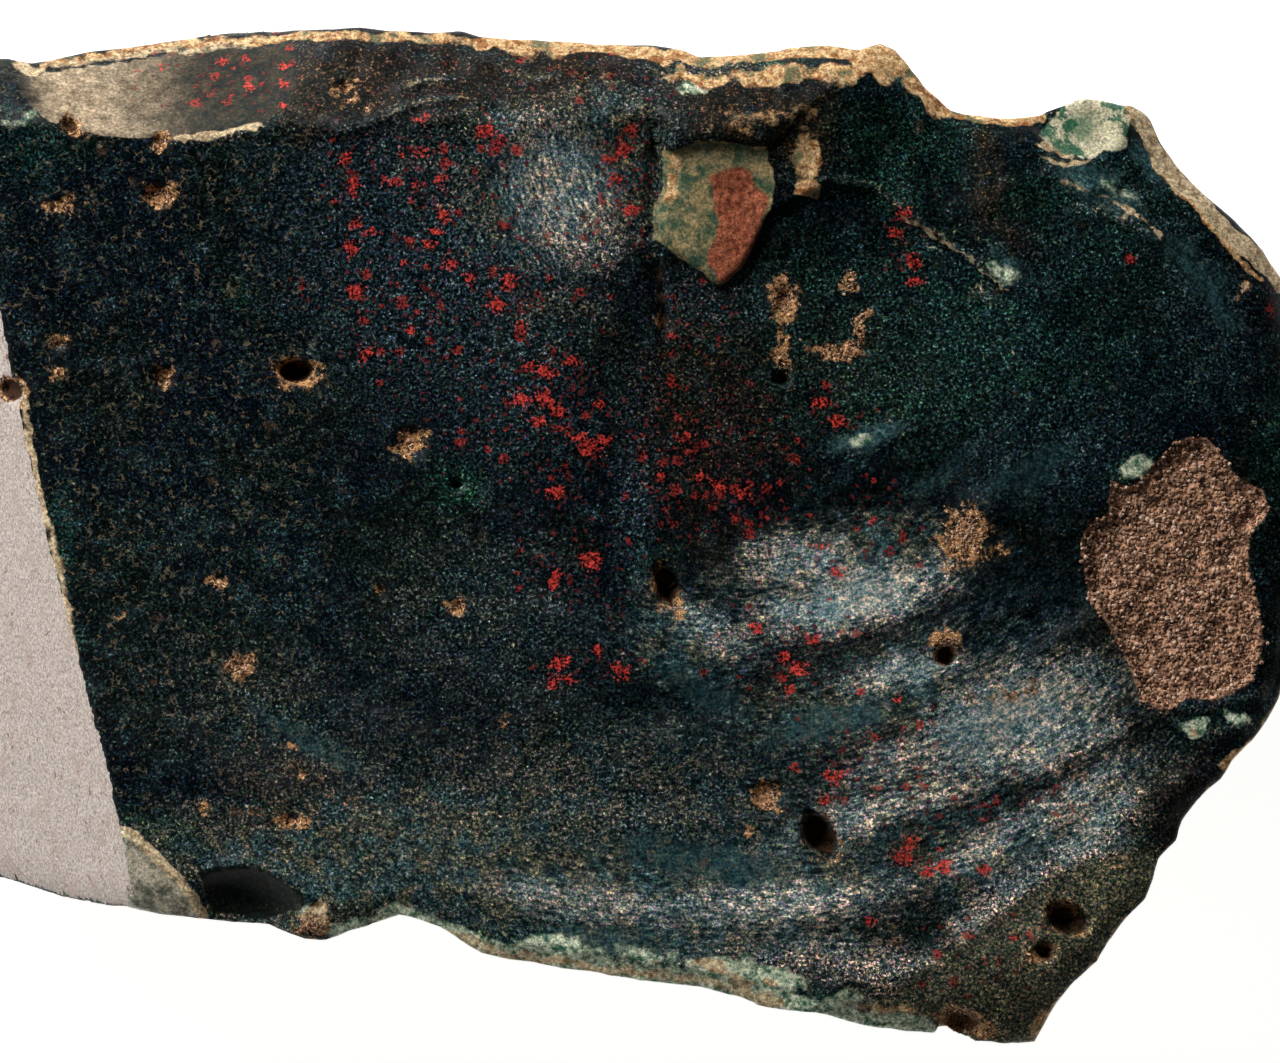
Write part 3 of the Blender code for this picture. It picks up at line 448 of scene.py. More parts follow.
# The olive flake, its rust-stained middle, the pale broken tip and its green core.
OLIVE_FLAKE = [
    (666, 150), (700, 143), (764, 146), (776, 190), (768, 216), (754, 246), (741, 268), (720, 287),
    (690, 262), (655, 236),
]
RUST_MIDDLE = [
    (708, 176), (738, 164), (770, 196), (756, 244), (741, 268), (721, 286), (706, 262), (716, 224),
]
PALE_TIP = [
    (1066, 100), (1088, 84), (1112, 92), (1128, 112), (1124, 146), (1092, 158), (1056, 152),
    (1040, 134),
]
GREEN_CORE = [
    (1068, 116), (1092, 110), (1096, 128), (1084, 142), (1066, 136),
]
# The olive corner facet, the black bowl in the lower edge and the grey facet beside the sawn face.
OLIVE_CORNER = [
    (1150, 846), (1120, 852), (1076, 862), (1036, 884), (1000, 912), (950, 950), (900, 984),
    (870, 1004), (900, 1040), (1040, 1060), (1180, 900),
]
BLACK_BOWL = [
    (196, 874), (214, 868), (240, 866), (262, 870), (286, 880), (302, 892), (300, 908), (262, 920),
    (214, 914),
]
GREY_FACET = [
    (102, 826), (126, 836), (156, 850), (186, 880), (205, 912), (190, 918), (130, 912), (106, 900),
]
# The zone of each of these areas, and how soft its border is in pixels.
AREAS = {
    "olive": (OLIVE_FLAKE, 4),
    "rust": (RUST_MIDDLE, 7),
    "tip": (PALE_TIP, 8),
    "core": (GREEN_CORE, 5),
    "corner": (OLIVE_CORNER, 10),
    "bowl": (BLACK_BOWL, 4),
    "facet": (GREY_FACET, 4),
}
# Single red flecks: middle and size.
RED_FLECKS = [
    (357, 290, 11), (366, 352, 8), (345, 158, 8), (352, 184, 8), (356, 222, 8), (372, 232, 7),
    (420, 120, 6), (422, 152, 8), (444, 214, 8), (436, 232, 7), (430, 248, 7), (404, 263, 6),
    (484, 130, 9), (500, 142, 9), (515, 151, 7), (512, 282, 11), (497, 306, 9), (470, 276, 7),
    (521, 330, 7), (548, 372, 10), (521, 398, 10), (545, 398, 11), (556, 410, 9), (538, 420, 7),
    (588, 449, 11), (602, 442, 8), (577, 436, 7), (556, 490, 8), (589, 560, 11), (556, 577, 8),
    (553, 584, 7), (560, 664, 11), (553, 684, 8), (571, 680, 7), (620, 671, 9), (600, 650, 6),
    (622, 150, 10), (616, 182, 10), (632, 130, 8), (630, 212, 9), (800, 670, 11), (786, 656, 7),
    (832, 776, 10), (846, 772, 7), (903, 858, 12), (912, 842, 8), (942, 866, 10), (926, 872, 8),
    (915, 262, 8), (918, 282, 9), (905, 212, 7), (895, 232, 7), (1132, 258, 8), (720, 488, 8),
    (700, 478, 7), (745, 492, 7), (838, 572, 7), (820, 548, 7), (872, 522, 6), (160, 68, 5),
    (225, 62, 6), (250, 88, 6), (246, 58, 5), (284, 66, 6), (284, 84, 6), (284, 104, 5), (820, 402, 8),
    (836, 418, 8), (752, 628, 7), (870, 920, 7), (985, 872, 8), (452, 262, 7), (396, 186, 6),
    (416, 186, 7), (664, 478, 6), (688, 436, 6), (1015, 938, 6), (350, 246, 8), (384, 220, 6),
    (410, 330, 6), (440, 180, 7), (404, 152, 6), (600, 404, 7), (570, 360, 7), (532, 366, 7),
    (612, 160, 8), (790, 690, 8), (812, 640, 7), (860, 690, 6), (900, 700, 6), (826, 800, 8),
]

# The lower right of the face is drawn out in fine hackles.
STREAKED = [
    (860, 620, 260, 150, -10, 1.0), (940, 780, 230, 120, -20, 1.0), (720, 900, 300, 60, 4, 0.8),
    (570, 190, 80, 100, 70, 0.8), (420, 840, 200, 60, 0, 0.4),
]

# Grit of the sand patch and of the crusts: how many grains, their sizes in millimetres, and how low they go.
SAND_GRAINS = 4200
SAND_GRAIN_SIZES = (0.05, 0.17)
CRUST_GRAINS = 1300
CRUST_GRAIN_SIZES = (0.04, 0.11)
CRUST_LOWEST = 18 * MM
GRIT_SEED = 11

# Roughness of the zones that are duller than the chalcedony.
ROUGHNESS = {
    "brown": 0.5, "grey": 0.45, "scar": 0.55, "ochre": 0.6, "cream": 0.55, "tan": 0.85, "sand": 0.9,
    "sawn": 0.9, "hole": 0.9,
}

# Light and colours, all linear.
FLOOR_SIZE = 1.2
KEY_FROM = (-0.46, 0.66, 0.50)
KEY_DISTANCE = 0.36
KEY_SIZE = 0.20
KEY_POWER = 1.35
FILL_FROM = (-0.85, -0.25, 0.45)
FILL_DISTANCE = 0.4
FILL_SIZE = 0.2
FILL_POWER = 0.10
WORLD_LIGHT = 0.03


def smooth_step(low, high, value):
    share = np.clip((value - low) / (high - low), 0, 1)
    return share * share * (3 - 2 * share)


def smooth_max(a, b, width):
    """The larger of a and b, rounded where they are closer than width."""
    near = np.clip(1 - np.abs(a - b) / width, 0, 1)
    return np.maximum(a, b) + near * near * width / 4


def lattice_value(i, j, k, seed):
    """A repeatable value from -1 to 1 at each whole-number point."""
    h = (i * 73856093) ^ (j * 19349663) ^ (k * 83492791) ^ (seed * 265443576)
    h = (h ^ (h >> 13)) * 1274126177
    return ((h ^ (h >> 16)) & 0xFFFF) / 32767.5 - 1


def value_noise(x, y, z, seed):
    """Smooth noise from about -1 to 1, with features one unit across."""
    low = [np.floor(axis).astype(np.int64) for axis in (x, y, z)]
    part = [smooth_step(0, 1, axis - corner) for axis, corner in zip((x, y, z), low)]
    total = 0
    for steps in np.ndindex(2, 2, 2):
        weight = 1
        for share, step in zip(part, steps):
            weight = weight * (share if step else 1 - share)
        corner = [axis + step for axis, step in zip(low, steps)]
        total = total + weight * lattice_value(*corner, seed)
    return total


def flat_noise(u, v, size, seed):
    return value_noise(u / size, v / size, 0 * u, seed)


def solid_noise(points, size, seed):
    x, y, z = (points / size).T
    return value_noise(x, y, z, seed)


def polygon_distance(u, v, corners):
    """Signed distance in pixels to a closed outline, negative inside."""
    nearest = np.full(u.shape, np.inf)
    inside = np.zeros(u.shape, bool)
    for (u0, v0), (u1, v1) in zip(corners, corners[1:] + corners[:1]):
        du, dv = u1 - u0, v1 - v0
        along = np.clip(((u - u0) * du + (v - v0) * dv) / (du * du + dv * dv), 0, 1)
        nearest = np.minimum(nearest, (u - u0 - along * du) ** 2 + (v - v0 - along * dv) ** 2)
        if dv:
            crosses = ((v0 > v) != (v1 > v)) & (u < u0 + (v - v0) * du / dv)
            inside ^= crosses
    return np.where(inside, -1, 1) * np.sqrt(nearest)


def line_distance(u, v, points):
    """Distance in pixels to an open line, and the share of the way along it."""
    nearest = np.full(u.shape, np.inf)
    place = np.zeros(u.shape)
    for number, ((u0, v0), (u1, v1)) in enumerate(zip(points, points[1:])):
        du, dv = u1 - u0, v1 - v0
        along = np.clip(((u - u0) * du + (v - v0) * dv) / (du * du + dv * dv), 0, 1)
        distance = np.hypot(u - u0 - along * du, v - v0 - along * dv)
        place = np.where(distance < nearest, (number + along) / (len(points) - 1), place)
        nearest = np.minimum(nearest, distance)
    return nearest, place


def ellipse_share(u, v, middle, half_along, half_across, turn):
    """0 at the middle of a turned ellipse, and 1 on its edge."""
    c, s = math.cos(math.radians(turn)), math.sin(math.radians(turn))
    du, dv = u - middle[0], v - middle[1]
    return np.hypot((du * c + dv * s) / half_along, (dv * c - du * s) / half_across)


def main_faces(u, v):
    """Height of the trough and the dish, before anything is broken off."""
    trough = FACE_HEIGHT + ((v - TROUGH_LINE) * PX) ** 2 / (2 * TROUGH_RADIUS)
    du, dv = (u - DISH_MIDDLE[0]) * PX, (v - DISH_MIDDLE[1]) * PX
    dish = FACE_HEIGHT - DISH_DEPTH + du ** 2 / (2 * DISH_RADII[0]) + dv ** 2 / (2 * DISH_RADII[1])
    return -smooth_max(-trough, -dish, EDGE_ROUNDING)


def blow_direction(u, v):
    """Distance from the blow in pixels, and the bearing from it in degrees."""
    du, dv = u - BLOW[0], v - BLOW[1]
    return np.hypot(du, dv), np.degrees(np.arctan2(du, dv))


def ripples(u, v):
    """Waves of the fracture, strongest low down on the right."""
    reach, bearing = blow_direction(u, v)
    reach = reach + 22 * flat_noise(u, v, 150, 5)
    strength = smooth_step(330, 520, reach) * smooth_step(-75, 10, bearing)
    strength = strength * (1 - smooth_step(32, 58, bearing))
    height = 0
    for length, size in zip(RIPPLE_LENGTHS, RIPPLE_HEIGHTS):
        height = height + size * np.sin(2 * math.pi * reach / length)
    height = height * np.clip(0.65 + 0.7 * flat_noise(u, v, 110, 27), 0.1, 1.2)
    return height * (0.15 + 0.85 * strength) * smooth_step(250, 420, reach)


def cut_height(u, v, start, fall, angle, radius_along, radius_across, start_height):
    """Height of the surface that one cut leaves."""
    du, dv = (u - start[0]) * PX, (v - start[1]) * PX
    size = math.hypot(*fall)
    along = (du * fall[0] + dv * fall[1]) / size
    across = (dv * fall[0] - du * fall[1]) / size
    height = start_height - math.tan(math.radians(angle)) * along
    if radius_along:
        height = height + np.clip(along, 0, None) ** 2 / (2 * radius_along)
    if radius_across:
        height = height + across ** 2 / (2 * radius_across)
    return height


def face_before_cuts(u, v):
    height = main_faces(u, v) + ripples(u, v)
    plate = smooth_step(5, -3, polygon_distance(u, v, UPPER_PLATE)) * smooth_step(1180, 1010, u)
    plate = plate * smooth_step(630, 705, u) * (1 - 0.6 * smooth_step(830, 900, u))
    crest = smooth_step(4, -3, polygon_distance(u, v, CREST_PLATE))
    height = height + UPPER_STEP * plate + CREST_STEP * crest
    for start, towards, angle in FACETS:
        along = ((u - start[0]) * towards[0] + (v - start[1]) * towards[1]) / math.hypot(*towards) * PX
        height = height - math.tan(math.radians(angle)) * smooth_max(along, 0 * along, EDGE_ROUNDING)
    for middle, half_along, half_across, turn, depth in BITES.values():
        share = ellipse_share(u, v, middle, half_along, half_across, turn)
        height = height - depth * np.clip(1 - share ** 2, 0, None)
    return height


def cut_surface(u, v, name):
    start, fall, angle, radius_along, radius_across = CUTS[name]
    at = np.array([float(start[0])]), np.array([float(start[1])])
    return cut_height(u, v, start, fall, angle, radius_along, radius_across, main_faces(*at)[0])


def hackles(u, v):
    """Fine terraces and streaks of the lower right, where the fracture ran out."""
    reach, bearing = blow_direction(u, v)
    bent = reach + 26 * flat_noise(u, v, 70, 16) + 9 * flat_noise(u, v, 26, 24)
    strength = smooth_step(230, 420, reach) * smooth_step(-70, -10, bearing)
    strength = strength * smooth_step(66, 44, bearing)
    share = (bent / 27) % 1
    terraces = smooth_step(0.0, 0.75, share) * smooth_step(1.0, 0.85, share) - 0.5
    terraces = terraces * np.clip(0.5 + flat_noise(u, v, 80, 17), 0, 1)
    dashes = value_noise(bent / 5.5, np.radians(bearing) * reach / 26, 0 * u, 14)
    streaks = value_noise(np.radians(bearing) * 60, reach / 60, 0 * u, 15)
    return strength * MM * (0.055 * terraces + 0.024 * dashes + 0.03 * streaks)


def fine_marks(u, v):
    """Marks too fine for the solid: ribs of the top scar, lips, cracks, small holes and hackles."""
    height = hackles(u, v)
    scar = smooth_step(300, 200, u) * smooth_step(132, 112, v)
    ribs = v - 0.26 * u + 5 * flat_noise(u, v, 40, 11)
    height = height + scar * RIB_HEIGHT * np.sin(ribs * 2 * math.pi / RIB_LENGTH)
    bent = u + 2 * flat_noise(u, v, 12, 18), v + 2 * flat_noise(u, v, 12, 19)
    for points, rise, width in LIPS:
        distance, place = line_distance(*bent, points)
        taper = np.sqrt(np.clip(4 * place * (1 - place), 0, 1))
        height = height + rise * taper * np.exp(-((distance / width) ** 2))
    for points, depth, width in CRACKS:
        distance, _ = line_distance(u + 3 * flat_noise(u, v, 9, 12), v, points)
        height = height - depth * np.exp(-((distance / width) ** 2))
    wobble = 1 + 0.35 * flat_noise(u, v, 5, 13)
    for middle, half_along, half_across, turn, depth in SMALL_HOLES:
        share = ellipse_share(u, v, middle, half_along, half_across, turn) * wobble
        height = height - depth * smooth_step(1.2, 0.3, share)
    chips = np.abs(flat_noise(u, v, 34, 25)) + 0.5 * np.abs(flat_noise(u, v, 17, 26))
    upper = np.maximum(smooth_step(150, 110, v), smooth_step(900, 1010, u) * smooth_step(330, 250, v))
    corner = smooth_step(1150, 1200, u) * smooth_step(690, 740, v)
    return height + 0.2 * MM * chips * np.maximum(upper * smooth_step(270, 330, u), corner)


def top_height(u, v, edge):
    """Height of the upper surface over each pixel; edge is the distance to the outline."""
    height = face_before_cuts(u, v)
    for name in CUTS:
        height = -smooth_max(-height, -cut_surface(u, v, name), EDGE_ROUNDING)
    sand = polygon_distance(u, v, SAND_PATCH)
    height = height - SAND_DEPTH * smooth_step(2, -9, sand)
    wobble = 1 + 0.16 * flat_noise(u, v, 9, 3)
    for middle, half_along, half_across, turn, depth in HOLES.values():
        share = ellipse_share(u, v, middle, half_along, half_across, turn) * wobble
        height = height - depth * smooth_step(1.12, 0.35, share)
    height = height - RIM_DROP * np.exp(-((edge / RIM_WIDTH) ** 2))
    swell = 0.1 * MM * (0.35 + 0.65 * smooth_step(600, 760, u))
    return height + swell * flat_noise(u, v, 34, 1) + fine_marks(u, v)


def blurred(grid, size):
    """A map evened out over a square of this many pixels, four times over."""
    half = int(size / 2 / MAP_STEP)
    for _ in range(4):
        for axis in (0, 1):
            ends = [(half, half) if axis == side else (0, 0) for side in (0, 1)]
            total = np.cumsum(np.pad(grid, ends, mode="edge"), axis=axis)
            total = np.insert(total, 0, 0, axis=axis)
            width = 2 * half + 1
            count = grid.shape[axis]
            late = np.take(total, np.arange(width, width + count), axis=axis)
            grid = (late - np.take(total, np.arange(count), axis=axis)) / width
    return grid


def make_maps():
    """The outline distance, an evened one and the upper surface's height, once on an even grid of pixels."""
    across = np.arange(MAP_LOW[0], MAP_HIGH[0], MAP_STEP)
    down = np.arange(MAP_LOW[1], MAP_HIGH[1], MAP_STEP)
    u, v = np.meshgrid(across, down)
    edge = polygon_distance(u, v, OUTLINE)
    return (edge - EDGE_GROWTH) * PX, blurred(edge, WALL_BLUR) * PX, top_height(u, v, edge)


def read_map(grid, u, v):
    """A map's value between its grid points."""
    column = np.clip((u - MAP_LOW[0]) / MAP_STEP, 0, grid.shape[1] - 1.001)
    row = np.clip((v - MAP_LOW[1]) / MAP_STEP, 0, grid.shape[0] - 1.001)
    i, j = row.astype(int), column.astype(int)
    a, b = row - i, column - j
    upper = grid[i, j] * (1 - b) + grid[i, j + 1] * b
    lower = grid[i + 1, j] * (1 - b) + grid[i + 1, j + 1] * b
    return upper * (1 - a) + lower * a


def photo_position(points):
    """The pixel at which each point is seen from the eye."""
    scale = EYE_ABOVE_FACE / (EYE_ABOVE_FACE + FACE_HEIGHT - points[:, 2]) / PX
    return FRAME_MIDDLE[0] + (points[:, 0] - EYE_X) * scale, FRAME_MIDDLE[1] - (points[:, 1] - EYE_Y) * scale


def outline_reach(bearing, height):
    """How far the outline reaches from the origin in one direction, at one height."""
    size = PX * (EYE_ABOVE_FACE + FACE_HEIGHT - height) / EYE_ABOVE_FACE
    c, s = math.cos(math.radians(bearing)), math.sin(math.radians(bearing))
    return max(
        (EYE_X + (u - FRAME_MIDDLE[0]) * size) * c + (EYE_Y - (v - FRAME_MIDDLE[1]) * size) * s
        for u, v in OUTLINE
    )


def side_distance(x, y, z, bearing, height, lean):
    """Distance outside one broken face, which leans out from upright and is slightly hollow."""
    c, s = math.cos(math.radians(bearing)), math.sin(math.radians(bearing))
    outward = x * c + y * s - outline_reach(bearing, height)
    across = y * c - x * s
    up = outward * math.sin(lean) + (z - height) * math.cos(lean) + height / 2 / math.cos(lean)
    hollow = 1 - (across ** 2 + up ** 2) / SIDE_HOLLOW_REACH ** 2
    return outward * math.cos(lean) + (height - z) * math.sin(lean) + SIDE_HOLLOW * height * hollow


def below_field(points, flakes, small_flakes):
    """Distance outside the faces under the outline."""
    x, y, z = points.T
    below = -z
    for bearing, height, lean in UNDERSIDES:
        side = side_distance(x, y, z, bearing, height, math.radians(lean))
        below = smooth_max(below, side, UNDERSIDE_ROUNDING)
    for middle, radius in SIDE_SCARS:
        scar = radius - np.linalg.norm(points - np.array(middle), axis=1)
        below = smooth_max(below, scar, UNDERSIDE_ROUNDING / 2)
    below = below + solid_noise(points, 6 * MM, 2) * 0.35 * MM * smooth_step(0.5 * MM, 3 * MM, z)
    for middle, radius in flakes:
        below = smooth_max(below, radius - np.linalg.norm(points - middle, axis=1), EDGE_ROUNDING)
    finer = below
    for middle, radius in small_flakes:
        finer = smooth_max(finer, radius - np.linalg.norm(points - middle, axis=1), EDGE_ROUNDING / 2)
    return np.minimum(finer, below + FLAKE_LIMIT * smooth_step(0.3 * MM, 2 * MM, z))


def stone_field(points, maps, flakes, small_flakes=()):
    """Roughly the distance outside the stone's surface, negative inside it."""
    edge_map, even_map, top_map = maps
    u, v = photo_position(points)
    above = points[:, 2] - read_map(top_map, u, v)
    under = np.clip(-above, 0, None)
    even = smooth_step(*WALL_EVEN, under)
    wall = read_map(edge_map, u, v) * (1 - even) + read_map(even_map, u, v) * even
    wall = wall - WALL_LEAN * above + under ** 2 / (2 * WALL_RADIUS)
    field = smooth_max(above, wall, EDGE_ROUNDING)
    return smooth_max(field, below_field(points, flakes, small_flakes), RIM_ROUNDING)


def field_slope(points, value, *shape):
    """How fast the field grows along each axis."""
    step = 0.03 * MM
    slope = np.empty_like(points)
    for axis in range(3):
        moved = points.copy()
        moved[:, axis] += step
        slope[:, axis] = (stone_field(moved, *shape) - value) / step
    return slope


def flake_at(maps, bearing, height, radius, depth, tilt=0):
    """The sphere of a flake sunk into the side where a level ray meets it."""
    reach = np.linspace(*FLAKE_SEARCH)
    c, s = math.cos(math.radians(bearing)), math.sin(math.radians(bearing))
    ray = np.stack([c * reach, s * reach, np.full(len(reach), height)], axis=1)
    at = ray[np.argmin(np.abs(stone_field(ray, maps, [])))][None]
    outward = field_slope(at, stone_field(at, maps, []), maps, [])[0]
    outward = outward / np.linalg.norm(outward) + tilt
    return at[0] + outward / np.linalg.norm(outward) * (radius - depth), radius


def place_small_flakes(maps):
    """Small shallow flakes off the sides, at places picked by a fixed seed."""
    picker = np.random.default_rng(FLAKE_SEED)
    flakes = []
    for _ in range(FLAKE_COUNT):
        bearing = picker.uniform(SAWN_BEARINGS[1] - 360, SAWN_BEARINGS[0])
        height = picker.uniform(2 * MM, FLAKE_TOP)
        radius, depth = picker.uniform(*FLAKE_RADII), picker.uniform(*FLAKE_DEPTHS)
        flakes.append(flake_at(maps, bearing, height, radius, depth, picker.normal(0, 0.12, 3)))
    return flakes


def settle(points, edges, rounds, *shape):
    """Evens out the points and moves them onto the stone's surface, several times."""
    count = np.bincount(edges.ravel(), minlength=len(points))[:, None]
    for _ in range(rounds):
        around = np.empty_like(points)
        for axis in range(3):
            column = points[:, axis]
            around[:, axis] = np.bincount(edges[:, 0], column[edges[:, 1]], len(points))
            around[:, axis] += np.bincount(edges[:, 1], column[edges[:, 0]], len(points))
        points = points * 0.6 + around / count * 0.4
        for _ in range(2):
            value = stone_field(points, *shape)
            slope = field_slope(points, value, *shape)
            size = np.clip((slope ** 2).sum(axis=1), 0.3, None)
            points = points - np.clip(value / size, -1 * MM, 1 * MM)[:, None] * slope
    return points


def mesh_of(source, name):
    """Replaces an object by a mesh object of its evaluated shape, at the world's origin."""
    bpy.context.view_layer.update()
    graph = bpy.context.evaluated_depsgraph_get()
    mesh = bpy.data.meshes.new_from_object(source.evaluated_get(graph))
    mesh.transform(source.matrix_world)
    bpy.data.objects.remove(source, do_unlink=True)
    made = bpy.data.objects.new(name, mesh)
    bpy.context.scene.collection.objects.link(made)
    return made


def outline_blank():
    """The outline as a flat filled curve, extruded to a block that holds the whole stone."""
    curve = bpy.data.curves.new("outline", "CURVE")
    curve.dimensions = "2D"
    curve.fill_mode = "BOTH"
    curve.extrude = BLANK_HEIGHT / 2
    spline = curve.splines.new("POLY")
    spline.points.add(len(OUTLINE) - 1)
    spline.use_cyclic_u = True
    for point, (u, v) in zip(spline.points, OUTLINE):
        point.co = ((u - ORIGIN[0]) * BLANK_SPREAD * PX, (ORIGIN[1] - v) * BLANK_SPREAD * PX, 0, 1)
    flat = bpy.data.objects.new("outline", curve)
    bpy.context.scene.collection.objects.link(flat)
    flat.location.z = BLANK_HEIGHT / 2
    return mesh_of(flat, "stone_skin")


def remeshed(stone, voxel):
    """The same shape with an even skin of small squares."""
    modifier = stone.modifiers.new("even_skin", "REMESH")
    modifier.mode = "VOXEL"
    modifier.voxel_size = voxel
    return mesh_of(stone, "stone_skin")


def mesh_points(mesh):
    points = np.empty(len(mesh.vertices) * 3)
    mesh.vertices.foreach_get("co", points)
    return points.reshape(-1, 3)


def mesh_edges(mesh):
    edges = np.empty(len(mesh.edges) * 2, np.int64)
    mesh.edges.foreach_get("vertices", edges)
    return edges.reshape(-1, 2)


def mesh_normals(mesh):
    normals = np.empty(len(mesh.vertices) * 3, np.float32)
    mesh.vertex_normals.foreach_get("vector", normals)
    return normals.reshape(-1, 3).astype(float)


def set_points(mesh, points):
    mesh.vertices.foreach_set("co", points.ravel())
    mesh.update()


def thinned(stone):
    """Thins the skin, most of all where the eye doesn't look, to the number of triangles allowed."""
    stone.data.calc_loop_triangles()
    now = len(stone.data.loop_triangles)
    if now <= SKIN_TRIANGLES:
        return stone
    points = mesh_points(stone.data)
    facing = mesh_normals(stone.data)[:, 2]
    # No vertex has a weight of 0, because such vertices are never thinned and the rest would have to be.
    weight = SEEN_WEIGHT + HIDDEN_WEIGHT * smooth_step(0.3, -0.1, facing)
    tenths = np.round(weight * 10)
    group = stone.vertex_groups.new(name="hidden")
    for level in np.unique(tenths):
        chosen = np.nonzero(tenths == level)[0]
        group.add(chosen.tolist(), level / 10, "REPLACE")
    modifier = stone.modifiers.new("thinned", "DECIMATE")
    modifier.ratio = SKIN_TRIANGLES / now
    modifier.vertex_group = "hidden"
    modifier.vertex_group_factor = 2
    return mesh_of(stone, "stone_skin")


def patch_share(u, v, patches, soft=0.8):
    """Strength of the strongest patch of colour at each place. Each fades out over a ragged border."""
    total = np.zeros(u.shape)
    for middle_u, middle_v, half_along, half_across, turn, strength in patches:
        share = ellipse_share(u, v, (middle_u, middle_v), half_along, half_across, turn)
        total = np.maximum(total, strength * smooth_step(1 + soft, 1 - soft, share))
    return total


def band_share(u, v, bands):
    total = np.zeros(u.shape)
    for line, width, strength in bands:
        distance, _ = line_distance(u, v, line)
        total = np.maximum(total, strength * smooth_step(width * 1.6, width * 0.4, distance))
    return total


def inside_share(u, v, corners, border):
    return smooth_step(border, -border, polygon_distance(u, v, corners))


def hole_share(u, v):
    holes = np.zeros(u.shape)
    for middle, half_along, half_across, turn, depth in list(HOLES.values()) + SMALL_HOLES:
        share = ellipse_share(u, v, middle, half_along, half_across, turn)
        deep = smooth_step(0.3 * MM, 1.0 * MM, depth)
        holes = np.maximum(holes, smooth_step(1.15, 0.55, share) * deep)
    return holes * smooth_step(1000, 980, v)


def crack_share(u, v):
    cracks = np.zeros(u.shape)
    for line, depth, width in CRACKS:
        distance, _ = line_distance(u, v, line)
        deep = smooth_step(0.03 * MM, 0.25 * MM, depth)
        cracks = np.maximum(cracks, smooth_step(width * 1.4, 0, distance) * deep)
    return cracks


def lip_share(u, v):
    lips = np.zeros(u.shape)
    for line, _, width in LIPS:
        distance, place = line_distance(u, v, line)
        taper = smooth_step(0, 0.2, place * (1 - place))
        lips = np.maximum(lips, smooth_step(width * 1.2, 0, distance) * taper)
    return lips


def work_out_zones(points, normals, maps):
    """How much of each colour and texture there is at each point of the skin."""
    u, v = photo_position(points)
    gap = np.abs(points[:, 2] - read_map(maps[-1], u, v))
    seen = smooth_step(1.0 * MM, 0.3 * MM, gap)
    hidden = 1 - seen
    warped_u = u + 6 * flat_noise(u, v, 17, 51) + 3.5 * flat_noise(u, v, 8, 52)
    warped_v = v + 6 * flat_noise(u, v, 17, 53) + 3.5 * flat_noise(u, v, 8, 54)
    wide, patchy = solid_noise(points, 9 * MM, 31), solid_noise(points, 3.5 * MM, 32)
    warped = (warped_u + u) / 2, (warped_v + v) / 2
    zones = {name: seen * patch_share(warped_u, warped_v, patches) for name, patches in PATCHES.items()}
    for name, bands in BANDS.items():
        near = smooth_step(2.2 * MM, 1.2 * MM, gap)
        zones[name] = np.maximum(zones[name], near * band_share(*warped, bands))
    flecks = [(at_u, at_v, size, size * 0.8, 0, 1.0) for at_u, at_v, size in RED_FLECKS]
    zones["fleck"] = seen * patch_share(*warped, flecks, 0.7)
    # The raised lips are painted lighter in cream and grey: partly their own pale colour, partly painted
    # highlight along their crests.
    lips = lip_share(u, v)
    zones["cream"] = np.maximum(zones["cream"], 0.44 * seen * lips)
    zones["red"] = zones["red"] + hidden * smooth_step(0.3, 0.9, -wide) * 0.45
    zones["tan"] = zones["tan"] + hidden * smooth_step(0.45, 0.8, wide) * 0.8
    zones["brown"] = zones["brown"] + hidden * smooth_step(0.0, 0.8, wide) * 0.7
    zones["grey"] = np.maximum(zones["grey"], 0.35 * seen * lips)
    zones["grey"] = zones["grey"] + hidden * smooth_step(0.2, 0.9, patchy) * 0.4
    zones["green"] = zones["green"] + hidden * smooth_step(0.1, 0.8, -patchy) * 0.6
    zones["sand"] = seen * inside_share(u, v, SAND_PATCH, 7)
    for name, (corners, border) in AREAS.items():
        zones[name] = seen * inside_share(*warped, corners, border)
    for name in ("painted_highlight", "grey", "painted_haze", "painted_sheen", "brown"):
        zones[name] = zones[name] * (1 - 0.9 * zones["corner"])
    worn = np.maximum(smooth_step(400, 260, u), smooth_step(690, 790, v)) * smooth_step(1000, 860, u)
    zones["worn"] = np.maximum(seen * worn, 0.6 * hidden)
    saw_gap = np.abs(cut_surface(u, v, "saw_cut") - points[:, 2])
    zones["sawn"] = smooth_step(0.9 * MM, 0.5 * MM, saw_gap) * smooth_step(0.62, 0.76, -normals[:, 0])
    scar_gap = np.abs(cut_surface(u, v, "top_scar") - points[:, 2])
    zones["scar"] = seen * smooth_step(0.3 * MM, 0.12 * MM, scar_gap) * smooth_step(304, 284, warped_u)
    # The scar is painted paler towards its left end: partly its own cream colour, partly painted light where
    # it faces the lamp.
    zones["pale_scar"] = smooth_step(215, 60, warped_u) * smooth_step(20, 60, warped_u)
    zones["hole"] = seen * hole_share(u, v)
    zones["crack"] = seen * crack_share(u, v)
    zones["streaks"] = seen * patch_share(u, v, STREAKED)
    reach, bearing = blow_direction(u, v)
    zones["reach"] = reach * PX / MM
    zones["arc"] = np.radians(bearing) * reach * PX / MM
    return zones


